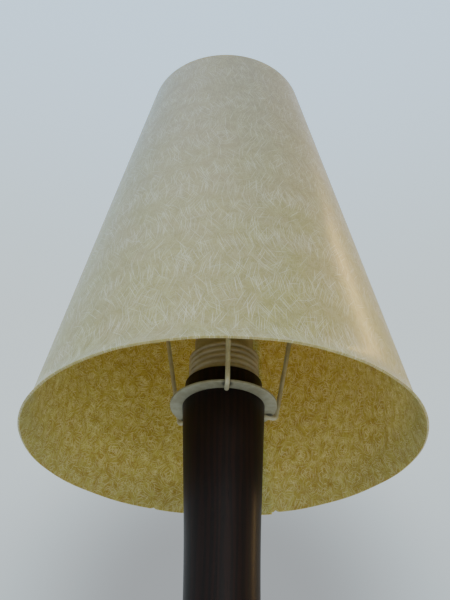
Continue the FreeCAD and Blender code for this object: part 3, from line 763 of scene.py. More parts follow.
@dataclass
class Blank:
    """A piece in the making: a bmesh with the few moves that all the pieces share."""

    name: str
    steps: int = 144

    def __post_init__(self) -> None:
        """Start an empty mesh."""
        self.mesh = bmesh.new()

    def wire(self, points: list[Vector], closed: bool = True) -> list[Element]:
        """Lay a wire outline through points.

        Args:
            points: The outline's points in metres.
            closed: Whether the last point joins the first.

        Returns:
            The outline's vertices and edges.
        """
        verts = [self.mesh.verts.new(point) for point in points]
        pairs = list(zip(verts, verts[1:])) + ([(verts[-1], verts[0])] if closed else [])
        return verts + [self.mesh.edges.new(pair) for pair in pairs]

    def turn(self, corners: list[Corner], closed: bool = True) -> "Blank":
        """Turn a rounded outline about the Z axis.

        Args:
            corners: The outline's corners.
            closed: Whether the outline closes on itself.

        Returns:
            The blank itself.
        """
        outline = self.wire(rounded(corners, closed), closed)
        bmesh.ops.spin(self.mesh, geom=outline, cent=(0, 0, 0), axis=(0, 0, 1), dvec=(0, 0, 0),
                       angle=math.tau, steps=self.steps, use_merge=True, use_duplicate=False)
        bmesh.ops.remove_doubles(self.mesh, verts=self.mesh.verts, dist=1e-7)
        bmesh.ops.dissolve_degenerate(self.mesh, dist=1e-8, edges=self.mesh.edges)
        return self

    def move(self, matrix: Matrix) -> "Blank":
        """Move the whole blank."""
        bmesh.ops.transform(self.mesh, matrix=matrix, verts=self.mesh.verts, space=Matrix.Identity(4))
        return self

    def make(self, body: str, finishes: list[bpy.types.Material], slot: str,
             replaced: tuple[str, ...] = (), recalculate: bool = True,
             sharp: float = 38.0) -> bpy.types.Object:
        """Turn the blank into a finished piece.

        Args:
            body: The body that it rides on.
            finishes: Its materials, in the order of its material indices.
            slot: The name of a material slot of the record; not used.
            replaced: The nodes that it stands for.
            recalculate: Whether its normals are worked out again.
            sharp: The angle in degrees past which an edge stays sharp.

        Returns:
            The piece.
        """
        if recalculate:
            bmesh.ops.recalc_face_normals(self.mesh, faces=self.mesh.faces)
        data = bpy.data.meshes.new(self.name)
        self.mesh.to_mesh(data)
        self.mesh.free()
        data.shade_smooth()
        data.set_sharp_from_angle(angle=math.radians(sharp))
        piece = bpy.data.objects.new(self.name, data)
        bpy.context.scene.collection.objects.link(piece)
        for finish in finishes:
            data.materials.append(finish)
        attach(piece, body)
        if replaced:
            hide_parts(*replaced)
        log.info("%s: %d faces on %s", self.name, len(data.polygons), body)
        return piece


def dress(node: str, finish: bpy.types.Material) -> None:
    """Give a node of the frame its finish.

    Args:
        node: The node's name.
        finish: The material that replaces its own.
    """
    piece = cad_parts[node]
    piece.data.materials.clear()
    piece.data.materials.append(finish)
    log.info("%s dressed with %s", node, finish.name)


def low(node: str) -> float:
    """A node's lowest height in millimetres."""
    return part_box(node)[0][2] / MM


def high(node: str) -> float:
    """A node's greatest height in millimetres."""
    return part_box(node)[1][2] / MM


def wide(node: str) -> float:
    """A round node's radius in millimetres."""
    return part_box(node)[1][0] / MM


# ------------------------------------------------------------------ sub-assemblies

@dataclass
class Finishes:
    """The materials that the sub-assemblies share, each made once."""

    def __post_init__(self) -> None:
        """Make them all."""
        self.upright_wood = Rosewood().make()
        self.foot_wood = Rosewood("rosewood_foot", (0.0, 90.0, 0.0)).make()
        self.outer_sheet = Fibreglass(Side.OUTER).make()
        self.inner_sheet = Fibreglass(Side.INNER).make()
        self.cut_edge = CutEdge().make()
        self.zinc = BareMetal("zinc_steel", (0.52, 0.53, 0.55), (0.30, 0.30, 0.30), 0.34).make()
        self.brass = BareMetal("brass", (0.72, 0.50, 0.20), (0.36, 0.22, 0.08), 0.26).make()
        self.cap_metal = BareMetal("cap_metal", (0.72, 0.72, 0.72), (0.48, 0.47, 0.45), 0.22).make()
        self.tungsten = BareMetal("tungsten", (0.16, 0.155, 0.15), (0.06, 0.06, 0.06), 0.4).make()
        self.moulding = Moulding().make()
        self.casting = Casting().make()
        self.felt = Felt().make()
        self.porcelain = Glaze("porcelain", (0.72, 0.70, 0.64), (0.62, 0.58, 0.50)).make()
        self.black_glass = Glaze("black_glass", (0.012, 0.012, 0.016), (0.006, 0.006, 0.010)).make()
        self.glass = ClearGlass().make()


@dataclass
class Foot:
    """The weighted foot: turned disc, felt, iron weight with its screws, and the cord's bush."""

    finishes: Finishes
    edge: float = 15.0
    dome: float = 78.0
    cavity: float = 48.0
    cavity_depth: float = 12.0
    cavity_round: float = 0.6
    brow_round: float = 1.4
    lower_ease: float = 1.5
    lower_middle: float = 0.44
    seat_gap: float = 0.02
    tenon_hole: float = 12.1
    seat: float = 24.0
    felt_round: float = 0.5
    bush_bore: float = 3.1
    bush_barrel: float = 4.2
    bush_flange: float = 5.8
    bush_lip: float = 1.2

    def build(self) -> None:
        """Make and dress every piece."""
        self.turn_disc()
        self.lay_felt()
        self.turn_bush()
        dress("foot_weight", self.finishes.casting)
        dress("weight_screws", self.finishes.zinc)

    def turn_disc(self) -> None:
        """Turn the wooden disc with its eased edges and domed top."""
        base, top, radius = low("foot_turned"), high("foot_turned"), wide("foot_turned")
        crest, roof = top - self.seat_gap, base + self.cavity_depth
        brow, crown = Corner(radius, self.edge, self.brow_round), Corner(self.seat, crest)
        dome = arc_corners(brow, crown, self.dome, 18)
        ease, middle = self.lower_ease, self.lower_middle
        corners = [
            Corner(self.cavity, base, self.cavity_round), Corner(radius - ease, base),
            Corner(radius - middle, base + middle), Corner(radius, base + ease), brow, *dome, crown,
            Corner(self.tenon_hole, crest), Corner(self.tenon_hole, roof), Corner(self.cavity, roof),
        ]
        Blank("foot_disc").turn(corners).make(
            "base", [self.finishes.foot_wood], "rosewood", ("foot_turned",))

    def lay_felt(self) -> None:
        """Cut the felt disc with its soft edge."""
        top, radius = high("foot_felt"), wide("foot_felt")
        corners = [Corner(0.0, 0.0), Corner(radius, 0.0, self.felt_round),
                   Corner(radius, top, self.felt_round), Corner(0.0, top)]
        Blank("foot_felt_disc").turn(corners).make(
            "base", [self.finishes.felt], "felt", ("foot_felt",))

    def turn_bush(self) -> None:
        """Turn the brass bush of the cord's hole and lay it along Y."""
        start, end = (part[1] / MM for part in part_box("cord_inlet_bush"))
        middle = (low("cord_inlet_bush") + high("cord_inlet_bush")) / 2.0
        length = end - start
        step = length - self.bush_lip
        corners = [
            Corner(self.bush_bore, 0.0, 0.3), Corner(self.bush_barrel, 0.0, 0.3),
            Corner(self.bush_barrel, step), Corner(self.bush_flange, step),
            Corner(self.bush_flange, length, 0.7), Corner(self.bush_bore, length, 0.9),
        ]
        blank = Blank("cord_bush", 64).turn(corners)
        place = Matrix.Translation((0.0, start * MM, middle * MM))
        blank.move(place @ Matrix.Rotation(-math.pi / 2.0, 4, "X"))
        blank.make("base", [self.finishes.brass], "brass", ("cord_inlet_bush",))


@dataclass
class Column:
    """The turned column with its neck, and the stem tube that clamps it to the foot."""

    finishes: Finishes
    bore: float = 5.4
    tenon: float = 12.0
    tenon_length: float = 11.0
    base_radius: float = 24.0
    waist: float = 18.9
    taper_radius: float = 20.1
    taper_length: float = 62.0
    waist_drop: float = 54.0
    shoulder: float = 23.0
    neck: float = 21.9
    cup: float = 17.0
    cup_depth: float = 30.0
    neck_round: float = 1.1

    def build(self) -> None:
        """Make and dress every piece."""
        self.turn_column()
        for node in ("stem_tube", "lower_washer", "lower_nut", "upper_washer", "upper_nut"):
            dress(node, self.finishes.zinc)

    def turn_column(self) -> None:
        """Turn the column from its tenon to its neck."""
        bottom, top, seat = low("column_turned"), high("column_turned"), low("carrier_ring")
        step = bottom + self.tenon_length
        knee = seat - self.taper_length
        waist_at = knee - self.waist_drop
        swell, rise = self.base_radius - self.waist, waist_at - step
        lower_bend = (rise * rise + swell * swell) / (2.0 * swell)
        ease = self.taper_radius - self.waist
        upper_bend = (self.waist_drop ** 2 + ease ** 2) / (2.0 * ease)
        foot, waist = Corner(self.base_radius, step), Corner(self.waist, waist_at)
        shoulder_foot = Corner(self.taper_radius, knee)
        corners = [
            Corner(self.bore, bottom), Corner(self.tenon, bottom, 0.8), Corner(self.tenon, step), foot,
            *arc_corners(foot, waist, -lower_bend, 28), waist,
            *arc_corners(waist, shoulder_foot, -upper_bend, 18), shoulder_foot,
            Corner(self.shoulder, seat, 0.25), Corner(self.neck, seat),
            Corner(self.neck, top, self.neck_round), Corner(self.cup, top, 0.3),
            Corner(self.cup, top - self.cup_depth), Corner(self.bore, top - self.cup_depth),
        ]
        Blank("column").turn(corners).make(
            "base", [self.finishes.upright_wood], "rosewood", ("column_turned",))


@dataclass(frozen=True)
class Ridge:
    """A rounded ridge that winds up a cylinder, sizes in millimetres."""

    root: float
    crest: float
    pitch: float
    turns: float
    sink: float
    foot: float
    half_crest: float
    foot_round: float
    crest_round: float
    steps: int
    flank_share: float = 0.46

    def wind(self, blank: Blank, start: float) -> None:
        """Wind the ridge about the Z axis.

        Args:
            blank: The blank to wind it in.
            start: The height of its lower edge at its start.
        """
        flank = self.pitch * self.flank_share
        middle = start + flank
        profile = [
            Corner(self.root - self.sink, middle - flank),
            Corner(self.root, middle - flank + self.foot, self.foot_round),
            Corner(self.crest, middle - self.half_crest, self.crest_round),
            Corner(self.crest, middle + self.half_crest, self.crest_round),
            Corner(self.root, middle + flank - self.foot, self.foot_round),
            Corner(self.root - self.sink, middle + flank),
        ]
        outline = blank.wire(rounded(profile))
        edges = [item for item in outline if isinstance(item, bmesh.types.BMEdge)]
        cap = bmesh.ops.contextual_create(blank.mesh, geom=edges)["faces"]
        rise = (0, 0, self.pitch * MM / self.steps)
        bmesh.ops.spin(blank.mesh, geom=outline + cap, cent=(0, 0, 0), axis=(0, 0, 1), dvec=rise,
                       angle=math.tau * self.turns, steps=round(self.steps * self.turns),
                       use_merge=False, use_duplicate=False)


@dataclass
class Holder:
    """The Edison lampholder: cap, insert, contacts, and the skirt with its thread for a shade ring."""

    finishes: Finishes
    bore: float = 14.3
    spigot: float = 15.0
    spigot_length: float = 6.0
    root: float = 18.9
    crest: float = 20.1
    pitch: float = 3.5
    ribs: int = 5
    thread_start: float = -90.0
    thread_gap: float = 0.3
    thread_short: float = 0.6
    collar: float = 17.05
    collar_round: float = 1.6

    def build(self) -> None:
        """Make and dress every piece."""
        self.turn_skirt()
        self.wind_thread()
        dress("holder_cap", self.finishes.moulding)
        dress("holder_insert", self.finishes.porcelain)
        for node in ("terminal_screws", "holder_screw_shell", "holder_centre_contact"):
            dress(node, self.finishes.brass)

    def turn_skirt(self) -> None:
        """Turn the skirt's body: spigot, root of the thread and smooth collar."""
        bottom, top = low("holder_skirt"), high("holder_skirt")
        seat = bottom + self.spigot_length
        collar = seat + self.pitch * self.ribs
        corners = [
            Corner(self.bore, bottom, 0.3), Corner(self.spigot, bottom, 0.3), Corner(self.spigot, seat),
            Corner(self.root, seat, 0.3), Corner(self.root, collar - 0.4, 0.8),
            Corner(self.collar, collar + 0.5, 0.5), Corner(self.collar, top, self.collar_round),
            Corner(self.bore, top, 0.5),
        ]
        Blank("holder_skirt_body").turn(corners).make(
            "base", [self.finishes.moulding], "cream_moulding", ("holder_skirt",))

    def wind_thread(self) -> None:
        """Wind the coarse round thread on the skirt."""
        seat = low("holder_skirt") + self.spigot_length
        ridge = Ridge(self.root, self.crest, self.pitch, self.ribs - self.thread_short, sink=0.4, foot=0.05,
                      half_crest=0.75, foot_round=0.2, crest_round=0.55, steps=96)
        blank = Blank("holder_skirt_thread")
        ridge.wind(blank, seat + self.thread_gap)
        blank.move(Matrix.Rotation(math.radians(self.thread_start), 4, "Z"))
        blank.make("base", [self.finishes.moulding], "cream_moulding", ("holder_skirt",))


@dataclass
class Carrier:
    """The shade's carrier: flat ring, three bent struts, hoop and their welds."""

    finishes: Finishes
    azimuths: tuple[tuple[str, float], ...] = (("front", -86.5), ("right", 20.5), ("left", 143.0))
    ring_bore: float = 21.98
    wire: float = 1.3
    bend: float = 2.2
    lean: float = 11.5
    tip: float = 24.3
    burn_reach: float = 27.5
    foot_bead: tuple[Span, Triple] = ((27.2, -0.5), (2.1, 1.75, 0.75))
    top_bead: tuple[Span, Triple] = ((-0.6, -0.1), (1.35, 2.0, 1.5))
    # ring and wires are one dull nickel: the wires' khaki is a painted reflection of the golden shade inside,
    # the ring a darker, painted-shaded copy
    ring_colours_painted_shade: tuple[Colour, Colour] = ((0.425, 0.402, 0.280), (0.330, 0.303, 0.195))
    wire_colours_painted_reflection: tuple[Colour, Colour] = ((0.640, 0.590, 0.400), (0.500, 0.440, 0.270))

    def build(self) -> None:
        """Make and dress every piece."""
        ways = [math.radians(azimuth) for _, azimuth in self.azimuths]
        reach, under = self.burn_reach * MM, low("carrier_ring") * MM
        burns = tuple((math.cos(way) * reach, math.sin(way) * reach, under) for way in ways)
        # ring and wire finishes carry painted shade and a painted golden reflection
        self.ring_finish = PlatedSteel("plated_ring", *self.ring_colours_painted_shade, 0.52, 0.35, burns).make()
        self.wire_finish = PlatedSteel("plated_wire", *self.wire_colours_painted_reflection, 0.42, 0.3).make()
        self.turn_ring()
        self.bend_struts()
        self.join_hoop()
        self.weld_joints()

    def turn_ring(self) -> None:
        """Punch the flat ring, with its burred edges eased."""
        bottom, top, radius = low("carrier_ring"), high("carrier_ring"), wide("carrier_ring")
        corners = [Corner(self.ring_bore, bottom, 0.2), Corner(radius, bottom, 0.35),
                   Corner(radius, top, 0.35), Corner(self.ring_bore, top, 0.2)]
        Blank("carrier_flat_ring").turn(corners).make(
            "carrier", [self.ring_finish], "dull_nickel", ("carrier_ring",))

    def bend_struts(self) -> None:
        """Bend each strut from its foot under the ring up to the hoop."""
        radius = wide("carrier_ring")
        lean = math.radians(self.lean)
        for name, azimuth in self.azimuths:
            node = "carrier_strut_" + name
            blank = Blank("carrier_wire_" + name)
            mesh = blank.mesh
            line = low(node) + self.wire
            start = Matrix.Translation((self.tip * MM, 0, line * MM)) @ Matrix.Rotation(math.pi / 2.0, 4, "Y")
            made = bmesh.ops.create_circle(
                mesh, cap_ends=True, segments=20, radius=self.wire * MM, matrix=start)
            face = made["verts"][0].link_faces[0]
            face = self.draw_out(mesh, face, Vector((radius - self.tip, 0, 0)) * MM, 3)
            centre = Vector((radius, 0, line + self.bend)) * MM
            turned = bmesh.ops.spin(mesh, geom=[face, *face.edges, *face.verts], cent=centre,
                                    axis=(0, -1, 0), dvec=(0, 0, 0), angle=math.pi / 2.0 - lean, steps=10,
                                    use_merge=False, use_duplicate=False)
            face = next(item for item in turned["geom_last"] if isinstance(item, bmesh.types.BMFace))
            way = Vector((math.sin(lean), 0, math.cos(lean)))
            gap = high(node) * MM - max(vert.co.z for vert in face.verts)
            self.draw_out(mesh, face, way * (gap / way.z), 24)
            bmesh.ops.remove_doubles(mesh, verts=mesh.verts, dist=1e-7)
            bmesh.ops.holes_fill(mesh, edges=mesh.edges, sides=0)
            blank.move(Matrix.Rotation(math.radians(azimuth), 4, "Z"))
            blank.make("carrier", [self.wire_finish], "dull_nickel", (node,))

    @staticmethod
    def draw_out(mesh: bmesh.types.BMesh, face: bmesh.types.BMFace, way: Vector,
                 pieces: int) -> bmesh.types.BMFace:
        """Draw a wire's end out in a straight line.

        Args:
            mesh: The wire's mesh.
            face: The wire's end.
            way: How far and which way the end moves.
            pieces: How many equal lengths it is drawn in.

        Returns:
            The new end.
        """
        for _ in range(pieces):
            made = bmesh.ops.extrude_discrete_faces(mesh, faces=[face])["faces"]
            face = made[0]
            bmesh.ops.translate(mesh, verts=list(face.verts), vec=way / pieces)
        return face

    def join_hoop(self) -> None:
        """Bend the hoop that the shade rests on."""
        lowest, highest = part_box("carrier_hoop")
        middle = (lowest[2] + highest[2]) / 2.0
        radius = highest[0] - self.wire * MM
        blank = Blank("carrier_wire_hoop")
        section = Matrix.Translation((radius, 0, middle)) @ Matrix.Rotation(math.pi / 2.0, 4, "X")
        made = bmesh.ops.create_circle(blank.mesh, segments=16, radius=self.wire * MM, matrix=section)
        edges = list({edge for vert in made["verts"] for edge in vert.link_edges})
        bmesh.ops.spin(blank.mesh, geom=made["verts"] + edges, cent=(0, 0, 0), axis=(0, 0, 1), dvec=(0, 0, 0),
                       angle=math.tau, steps=180, use_merge=True, use_duplicate=False)
        bmesh.ops.remove_doubles(blank.mesh, verts=blank.mesh.verts, dist=1e-7)
        blank.make("carrier", [self.wire_finish], "dull_nickel", ("carrier_hoop",))

    def weld_joints(self) -> None:
        """Drop a small uneven bead of weld at both ends of each strut."""
        hoop_low, hoop_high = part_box("carrier_hoop")
        hoop_radius = hoop_high[0] / MM - self.wire
        spots = (("foot", 0.0, low("carrier_ring"), self.foot_bead),
                 ("top", hoop_radius, hoop_low[2] / MM, self.top_bead))
        for name, azimuth in self.azimuths:
            for place, out, up, ((aside, lift), size) in spots:
                blank = Blank("weld_%s_%s" % (name, place))
                self.drop_bead(blank.mesh, Vector((out + aside, 0.0, up + lift)), size)
                blank.move(Matrix.Rotation(math.radians(azimuth), 4, "Z"))
                blank.make("carrier", [self.ring_finish], "dull_nickel")

    @staticmethod
    def drop_bead(mesh: bmesh.types.BMesh, spot: Vector, size: Triple) -> None:
        """Drop one lumpy bead.

        Args:
            mesh: The mesh to make it in.
            spot: Its middle in millimetres.
            size: Its three half sizes in millimetres.
        """
        bmesh.ops.create_icosphere(mesh, subdivisions=3, radius=1.0)
        for index, vert in enumerate(mesh.verts):
            lump = 1.0 + 0.07 * math.sin(index * 2.4) + 0.05 * math.sin(vert.co.x * 5 + vert.co.y * 7)
            grown = Vector(part * half for part, half in zip(vert.co, size)) * lump
            vert.co = (grown + spot) * MM
        bmesh.ops.smooth_vert(mesh, verts=mesh.verts, factor=0.5, use_axis_x=True, use_axis_y=True,
                              use_axis_z=True)


def smooth(value: float) -> float:
    """Ease a number from 0 to 1."""
    held = min(max(value, 0.0), 1.0)
    return held * held * (3.0 - 2.0 * held)


@dataclass
class Shade:
    """The rolled fibreglass shade with a flared lip and a lapped seam."""

    finishes: Finishes
    rim: float = 109.8
    cone: float = 107.4
    top: float = 52.5
    sheet: float = 1.2
    flare_rise: float = 12.0
    flare_bend: float = 38.0
    seam: float = 73.0
    lap: float = 9.0
    lap_share: float = 0.8
    ease: float = 5.0
    wave: float = 0.22
    wave_count: float = 3.0
    wave_phase: float = 0.7
    rim_band: float = 0.05
    rim_lift: float = 0.26
    ripples: tuple[Triple, ...] = ((0.16, 7.0, 0.0), (0.10, 17.0, 1.0))
    droop: float = 0.9
    droop_width: float = 16.0
    nicks: tuple[Span, ...] = ((41.25, 1.0), (358.5, 1.3))
    nick_width: float = 0.9
    columns: int = 492
    rows: int = 44

    def build(self) -> None:
        """Roll the sheet, give it its thickness and dress its faces and its cut edges."""
        self.bottom, self.height = low("shade_sheet"), high("shade_sheet") - low("shade_sheet")
        self.slope = (self.cone - self.top) / self.height
        blank = Blank("shade_rolled_sheet")
        mesh = blank.mesh
        outline = blank.wire(rounded(self.outline(), closed=False), closed=False)
        bmesh.ops.spin(mesh, geom=outline, cent=(0, 0, 0), axis=(0, 0, 1), dvec=(0, 0, 0),
                       angle=math.radians(360.0 + self.lap), steps=self.columns, use_merge=False,
                       use_duplicate=False)
        angles = self.roll_angles(mesh)
        self.lay_map(mesh, angles)
        self.shape_cut(angles)
        for face in mesh.faces:
            if self.facing(face) < 0.0:
                face.normal_flip()
        bmesh.ops.solidify(mesh, geom=list(mesh.faces), thickness=self.sheet * MM)
        mesh.normal_update()
        for face in mesh.faces:
            facing = self.facing(face)
            face.material_index = 0 if facing > 0.5 else 1 if facing < -0.5 else 2
        blank.move(Matrix.Rotation(math.radians(self.seam), 4, "Z"))
        finishes = [self.finishes.outer_sheet, self.finishes.inner_sheet, self.finishes.cut_edge]
        blank.make("shade", finishes, "fibreglass", ("shade_sheet",), recalculate=False, sharp=50.0)

    @staticmethod
    def facing(face: bmesh.types.BMFace) -> float:
        """How far a face looks away from the axis, from -1 to 1."""
        return face.normal.xy.dot(face.calc_center_median().xy.normalized())

    def outline(self) -> list[Corner]:
        """Draw the sheet's outer line from the lip to the top, in even rows.

        Returns:
            Its corners.
        """
        lip = Corner(self.rim, self.bottom)
        knee = Corner(self.cone - self.slope * self.flare_rise, self.bottom + self.flare_rise)
        crown = Corner(self.top, self.bottom + self.height)
        straight = [Corner(knee.out + (crown.out - knee.out) * step / self.rows,
                           knee.up + (crown.up - knee.up) * step / self.rows)
                    for step in range(self.rows + 1)]
        return [lip, *arc_corners(lip, knee, -self.flare_bend, 8), *straight]

    def roll_angles(self, mesh: bmesh.types.BMesh) -> dict[bmesh.types.BMVert, float]:
        """Find how far round the roll each vertex lies.

        Args:
            mesh: The spun sheet, one layer thick.

        Returns:
            Each vertex's angle in degrees, which passes 360 in the lap.
        """
        along_row = len(mesh.verts) // (self.columns + 1)
        mesh.verts.ensure_lookup_table()
        mesh.verts.index_update()
        return {vert: (360.0 + self.lap) * (vert.index // along_row) / self.columns for vert in mesh.verts}

    def lay_map(self, mesh: bmesh.types.BMesh, angles: dict[bmesh.types.BMVert, float]) -> None:
        """Lay the flat map of the unrolled sheet, in metres.

        Args:
            mesh: The spun sheet, one layer thick.
            angles: Each vertex's angle round the roll.
        """
        flat = mesh.loops.layers.uv.new(SHEET_MAP)
        half_angle = math.atan(self.slope)
        apex = self.cone / self.slope
        for face in mesh.faces:
            for loop in face.loops:
                rise = loop.vert.co.z / MM - self.bottom
                slant = (apex - rise) / math.cos(half_angle) * MM
                sweep = math.radians(angles[loop.vert]) * math.sin(half_angle)
                loop[flat].uv = (slant * math.sin(sweep), slant * math.cos(sweep))

    def shape_cut(self, angles: dict[bmesh.types.BMVert, float]) -> None:
        """Lift the lap off the start of the roll, and make the roll and its lower cut slightly uneven.

        Args:
            angles: Each vertex's angle round the roll.
        """
        for vert, angle in angles.items():
            turn = math.radians(angle)
            lift = 1.0 - smooth((angle - self.lap) / self.ease)
            out = vert.co.xy.length
            rise = (vert.co.z / MM - self.bottom) / self.height
            wave = self.wave * (math.sin(turn * self.wave_count + self.wave_phase) - 1.0) * (1.0 - rise)
            scale = (out + (self.sheet * self.lap_share * lift + wave * 0.5) * MM) / out
            vert.co.x *= scale
            vert.co.y *= scale
            near_rim = 1.0 - smooth(rise / self.rim_band)
            uneven = sum(depth * math.sin(turn * count + phase) for depth, count, phase in self.ripples)
            droop = self.droop * (1.0 - smooth(angle / self.droop_width))
            nick = sum(depth * max(0.0, 1.0 - abs(angle - place) / self.nick_width)
                       for place, depth in self.nicks)
            vert.co.z += near_rim * (self.rim_lift + uneven - droop + nick) * MM


@dataclass
class Bulb:
    """The clear bulb: glass, rolled cap, insulator, contact, mount and filament."""

    finishes: Finishes
    radius: float = 30.0
    glass: float = 0.6
    neck: float = 12.6
    shoulder: float = 38.0
    throat_round: float = 14.0
    cap: float = 13.05
    cap_root: float = 12.35
    cap_hole: float = 4.6
    cap_wall: float = 0.4
    cap_pitch: float = 3.63
    cap_turns: float = 3.1
    cap_thread_gap: float = 2.2

    def build(self) -> None:
        """Make and dress every piece."""
        self.blow_glass()
        self.roll_cap()
        dress("bulb_insulator", self.finishes.black_glass)
        dress("bulb_contact", self.finishes.cap_metal)
        dress("bulb_mount", self.finishes.glass)
        dress("bulb_filament", self.finishes.tungsten)

    def glass_line(self, inset: float, bottom: float, top: float) -> list[Corner]:
        """Draw one face of the glass from its neck to its crown.

        Args:
            inset: How far the face lies inside the outer one.
            bottom: Height of the glass's foot.
            top: Height of its crown.

        Returns:
            The corners from the neck upwards.
        """
        radius, neck = self.radius - inset, self.neck - inset
        middle = top - self.radius
        angle = math.radians(self.shoulder)
        cheek = Corner(radius * math.cos(angle), middle - radius * math.sin(angle))
        throat = Corner(neck, cheek.up - (cheek.out - neck) / math.tan(angle), self.throat_round)
        crown = Corner(0.0, middle + radius)
        return [Corner(neck, bottom), throat, cheek, *arc_corners(cheek, crown, radius, 26), crown]

    def blow_glass(self) -> None:
        """Blow the envelope with its even wall."""
        bottom, top = low("bulb_envelope"), high("bulb_envelope")
        outer = self.glass_line(0.0, bottom, top)
        inner = self.glass_line(self.glass, bottom, top)
        Blank("bulb_glass", 96).turn([*outer, *reversed(inner)]).make(
            "bulb", [self.finishes.glass], "clear_glass", ("bulb_envelope",))

    def roll_cap(self) -> None:
        """Roll the cap with its thread."""
        bottom, top = low("bulb_cap_shell"), high("bulb_cap_shell")
        inner_root = self.cap_root - self.cap_wall
        corners = [
            Corner(self.cap_hole, bottom), Corner(self.cap_root - 1.6, bottom, 0.6),
            Corner(self.cap_root, bottom + 2.0, 0.8), Corner(self.cap_root, top - 3.0, 0.4),
            Corner(self.cap, top - 2.4, 0.4), Corner(self.cap, top, 0.3),
            Corner(self.cap - self.cap_wall, top), Corner(inner_root, top - 2.6),
            Corner(inner_root, bottom + 2.4), Corner(self.cap_root - 2.2, bottom + self.cap_wall),
            Corner(self.cap_hole, bottom + self.cap_wall),
        ]
        Blank("bulb_cap", 96).turn(corners).make(
            "bulb", [self.finishes.cap_metal], "cap_metal", ("bulb_cap_shell",))
        ridge = Ridge(self.cap_root, self.cap, self.cap_pitch, self.cap_turns, sink=0.3,
                      foot=self.cap_pitch * 0.023, half_crest=0.5, foot_round=0.3, crest_round=0.8, steps=72)
        blank = Blank("bulb_cap_thread", 96)
        ridge.wind(blank, bottom + self.cap_thread_gap)
        blank.make("bulb", [self.finishes.cap_metal], "cap_metal", ("bulb_cap_shell",))


# ------------------------------------------------------------------ studio

@dataclass(frozen=True)
class Softbox:
    """A soft area light: where it stands, its size in metres, its power, its colour and its aim."""

    name: str
    place: Triple
    size: Span
    power: float
    colour: Colour
    target: Triple = (0.0, 0.0, 0.30)

    def put(self) -> None:
        """Put the light in the scene."""
        data = bpy.data.lights.new(self.name, "AREA")
        data.shape = "RECTANGLE"
        data.size, data.size_y = self.size
        data.energy = self.power
        data.color = self.colour
        light = bpy.data.objects.new(self.name, data)
        way = Vector(self.target) - Vector(self.place)
        aim = way.to_track_quat("-Z", "Y").to_matrix().to_4x4()
        light.matrix_world = Matrix.Translation(self.place) @ aim
        bpy.context.scene.collection.objects.link(light)


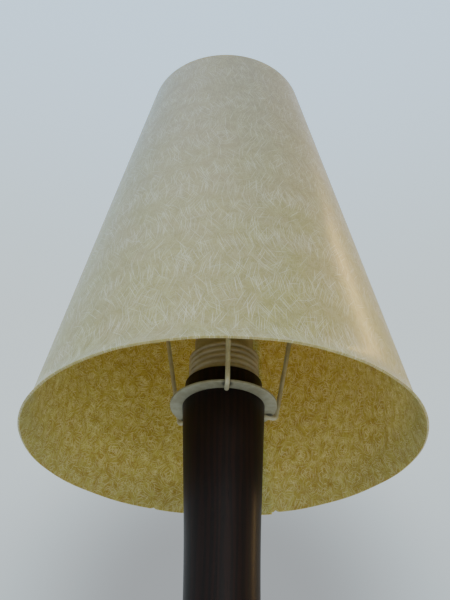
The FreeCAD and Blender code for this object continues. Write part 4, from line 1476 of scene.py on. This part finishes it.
@dataclass
class Studio:
    """Pale floor, pale sky, soft lights and the camera."""

    rim_height: float
    distance: float = 403.6
    drop: float = 186.2
    pitch: float = 34.9
    yaw: float = 0.04
    roll: float = 0.52
    lens: float = 48.25
    floor_gap: float = 0.0002
    # sky colour of the painted shadow of the lamp behind the column
    sky_painted_shadow: Colour = (0.40, 0.43, 0.45)
    sky_low: Colour = (0.70, 0.81, 0.86)
    sky_middle: Colour = (0.84, 0.97, 1.02)
    sky_high: Colour = (0.88, 1.20, 1.50)
    sky_side: Colour = (0.44, 0.43, 0.38)
    painted_shadow_way: Triple = (0.0, 0.97, 0.22)
    painted_shadow_reach: Span = (0.30, 0.10)
    middle_rise: Span = (0.22, 0.46)
    high_rise: Span = (0.52, 0.86)
    side_reach: Span = (0.26, 0.56)
    floor_half: float = 4.0
    boxes: tuple[Softbox, ...] = (
        Softbox("key_overhead", (-0.7, -1.0, 1.7), (1.6, 1.6), 8.0, (0.97, 0.98, 1.0)),
        Softbox("warm_window", (1.18, 0.39, 1.00), (0.15, 1.1), 9.0, (1.0, 0.65, 0.22)),
        Softbox("fill_front", (0.2, -0.9, 0.12), (0.7, 0.2), 3.0, (1.0, 0.98, 0.94)),
    )

    def build(self) -> None:
        """Set up the studio."""
        self.lay_floor()
        self.light_sky()
        for box in self.boxes:
            box.put()
        self.place_camera()

    def lay_floor(self) -> None:
        """Lay a wide pale floor under the foot."""
        blank = Blank("floor")
        bmesh.ops.create_grid(blank.mesh, x_segments=1, y_segments=1, size=self.floor_half)
        blank.move(Matrix.Translation((0.0, 0.0, -self.floor_gap)))
        graph = Graph("pale_floor")
        colour = graph.mix(graph.noise(graph.place(), 3.0, 3.0), (0.62, 0.63, 0.64), (0.68, 0.69, 0.70))
        data = bpy.data.meshes.new("floor")
        blank.mesh.to_mesh(data)
        blank.mesh.free()
        data.materials.append(graph.surface(Base_Color=colour, Roughness=0.7))
        floor = bpy.data.objects.new("floor", data)
        bpy.context.scene.collection.objects.link(floor)

    def light_sky(self) -> None:
        """Give the sky a cool pale gradient, dimmer low down and to the right, with a painted shadow of the
        lamp behind the column.
        """
        world = bpy.data.worlds.new("studio_sky")
        graph = Graph(world.name, world)
        way = graph.node("ShaderNodeTexCoord", None, {}, "Generated")
        rise = graph.node("ShaderNodeSeparateXYZ", None, {0: way}, "Z")
        sky = graph.mix(rise.step(*self.middle_rise), self.sky_low, self.sky_middle)
        sky = graph.mix(rise.step(*self.high_rise), sky, self.sky_high)
        aside = graph.node("ShaderNodeSeparateXYZ", None, {0: way}, "X")
        sky = graph.mix(aside.step(*self.side_reach) * 0.9, sky, self.sky_side)
        # painted shadow: a dim patch in the sky behind the column stands in for the lamp's shadow on a wall
        apart = graph.vector("DISTANCE", way, self.painted_shadow_way, output=1)
        sky = graph.mix(apart.step(*self.painted_shadow_reach), sky, self.sky_painted_shadow)
        background = graph.node("ShaderNodeBackground", None, {"Color": sky, "Strength": 1.0})
        graph.show(background, "ShaderNodeOutputWorld")
        bpy.context.scene.world = world

    def place_camera(self) -> None:
        """Place the camera in front of the lamp, below its rim and looking up."""
        data = bpy.data.cameras.new("camera")
        data.lens = self.lens
        data.sensor_width = 36.0
        data.clip_start = 0.01
        camera = bpy.data.objects.new("camera", data)
        place = Matrix.Translation((0.0, -self.distance * MM, (self.rim_height - self.drop) * MM))
        turn = (Matrix.Rotation(math.radians(-self.yaw), 4, "Z")
                @ Matrix.Rotation(math.radians(90.0 + self.pitch), 4, "X")
                @ Matrix.Rotation(math.radians(self.roll), 4, "Z"))
        camera.matrix_world = place @ turn
        bpy.context.scene.collection.objects.link(camera)
        bpy.context.scene.camera = camera


def main() -> None:
    """Build the lamp and its studio."""
    finishes = Finishes()
    for assembly in (Foot(finishes), Column(finishes), Holder(finishes), Carrier(finishes), Shade(finishes),
                     Bulb(finishes)):
        assembly.build()
        log.info("built %s", type(assembly).__name__)
    Studio(rim_height=low("shade_sheet")).build()


if __name__ == "__main__":
    logging.basicConfig(level=logging.INFO, format="%(name)s %(message)s")
    main()
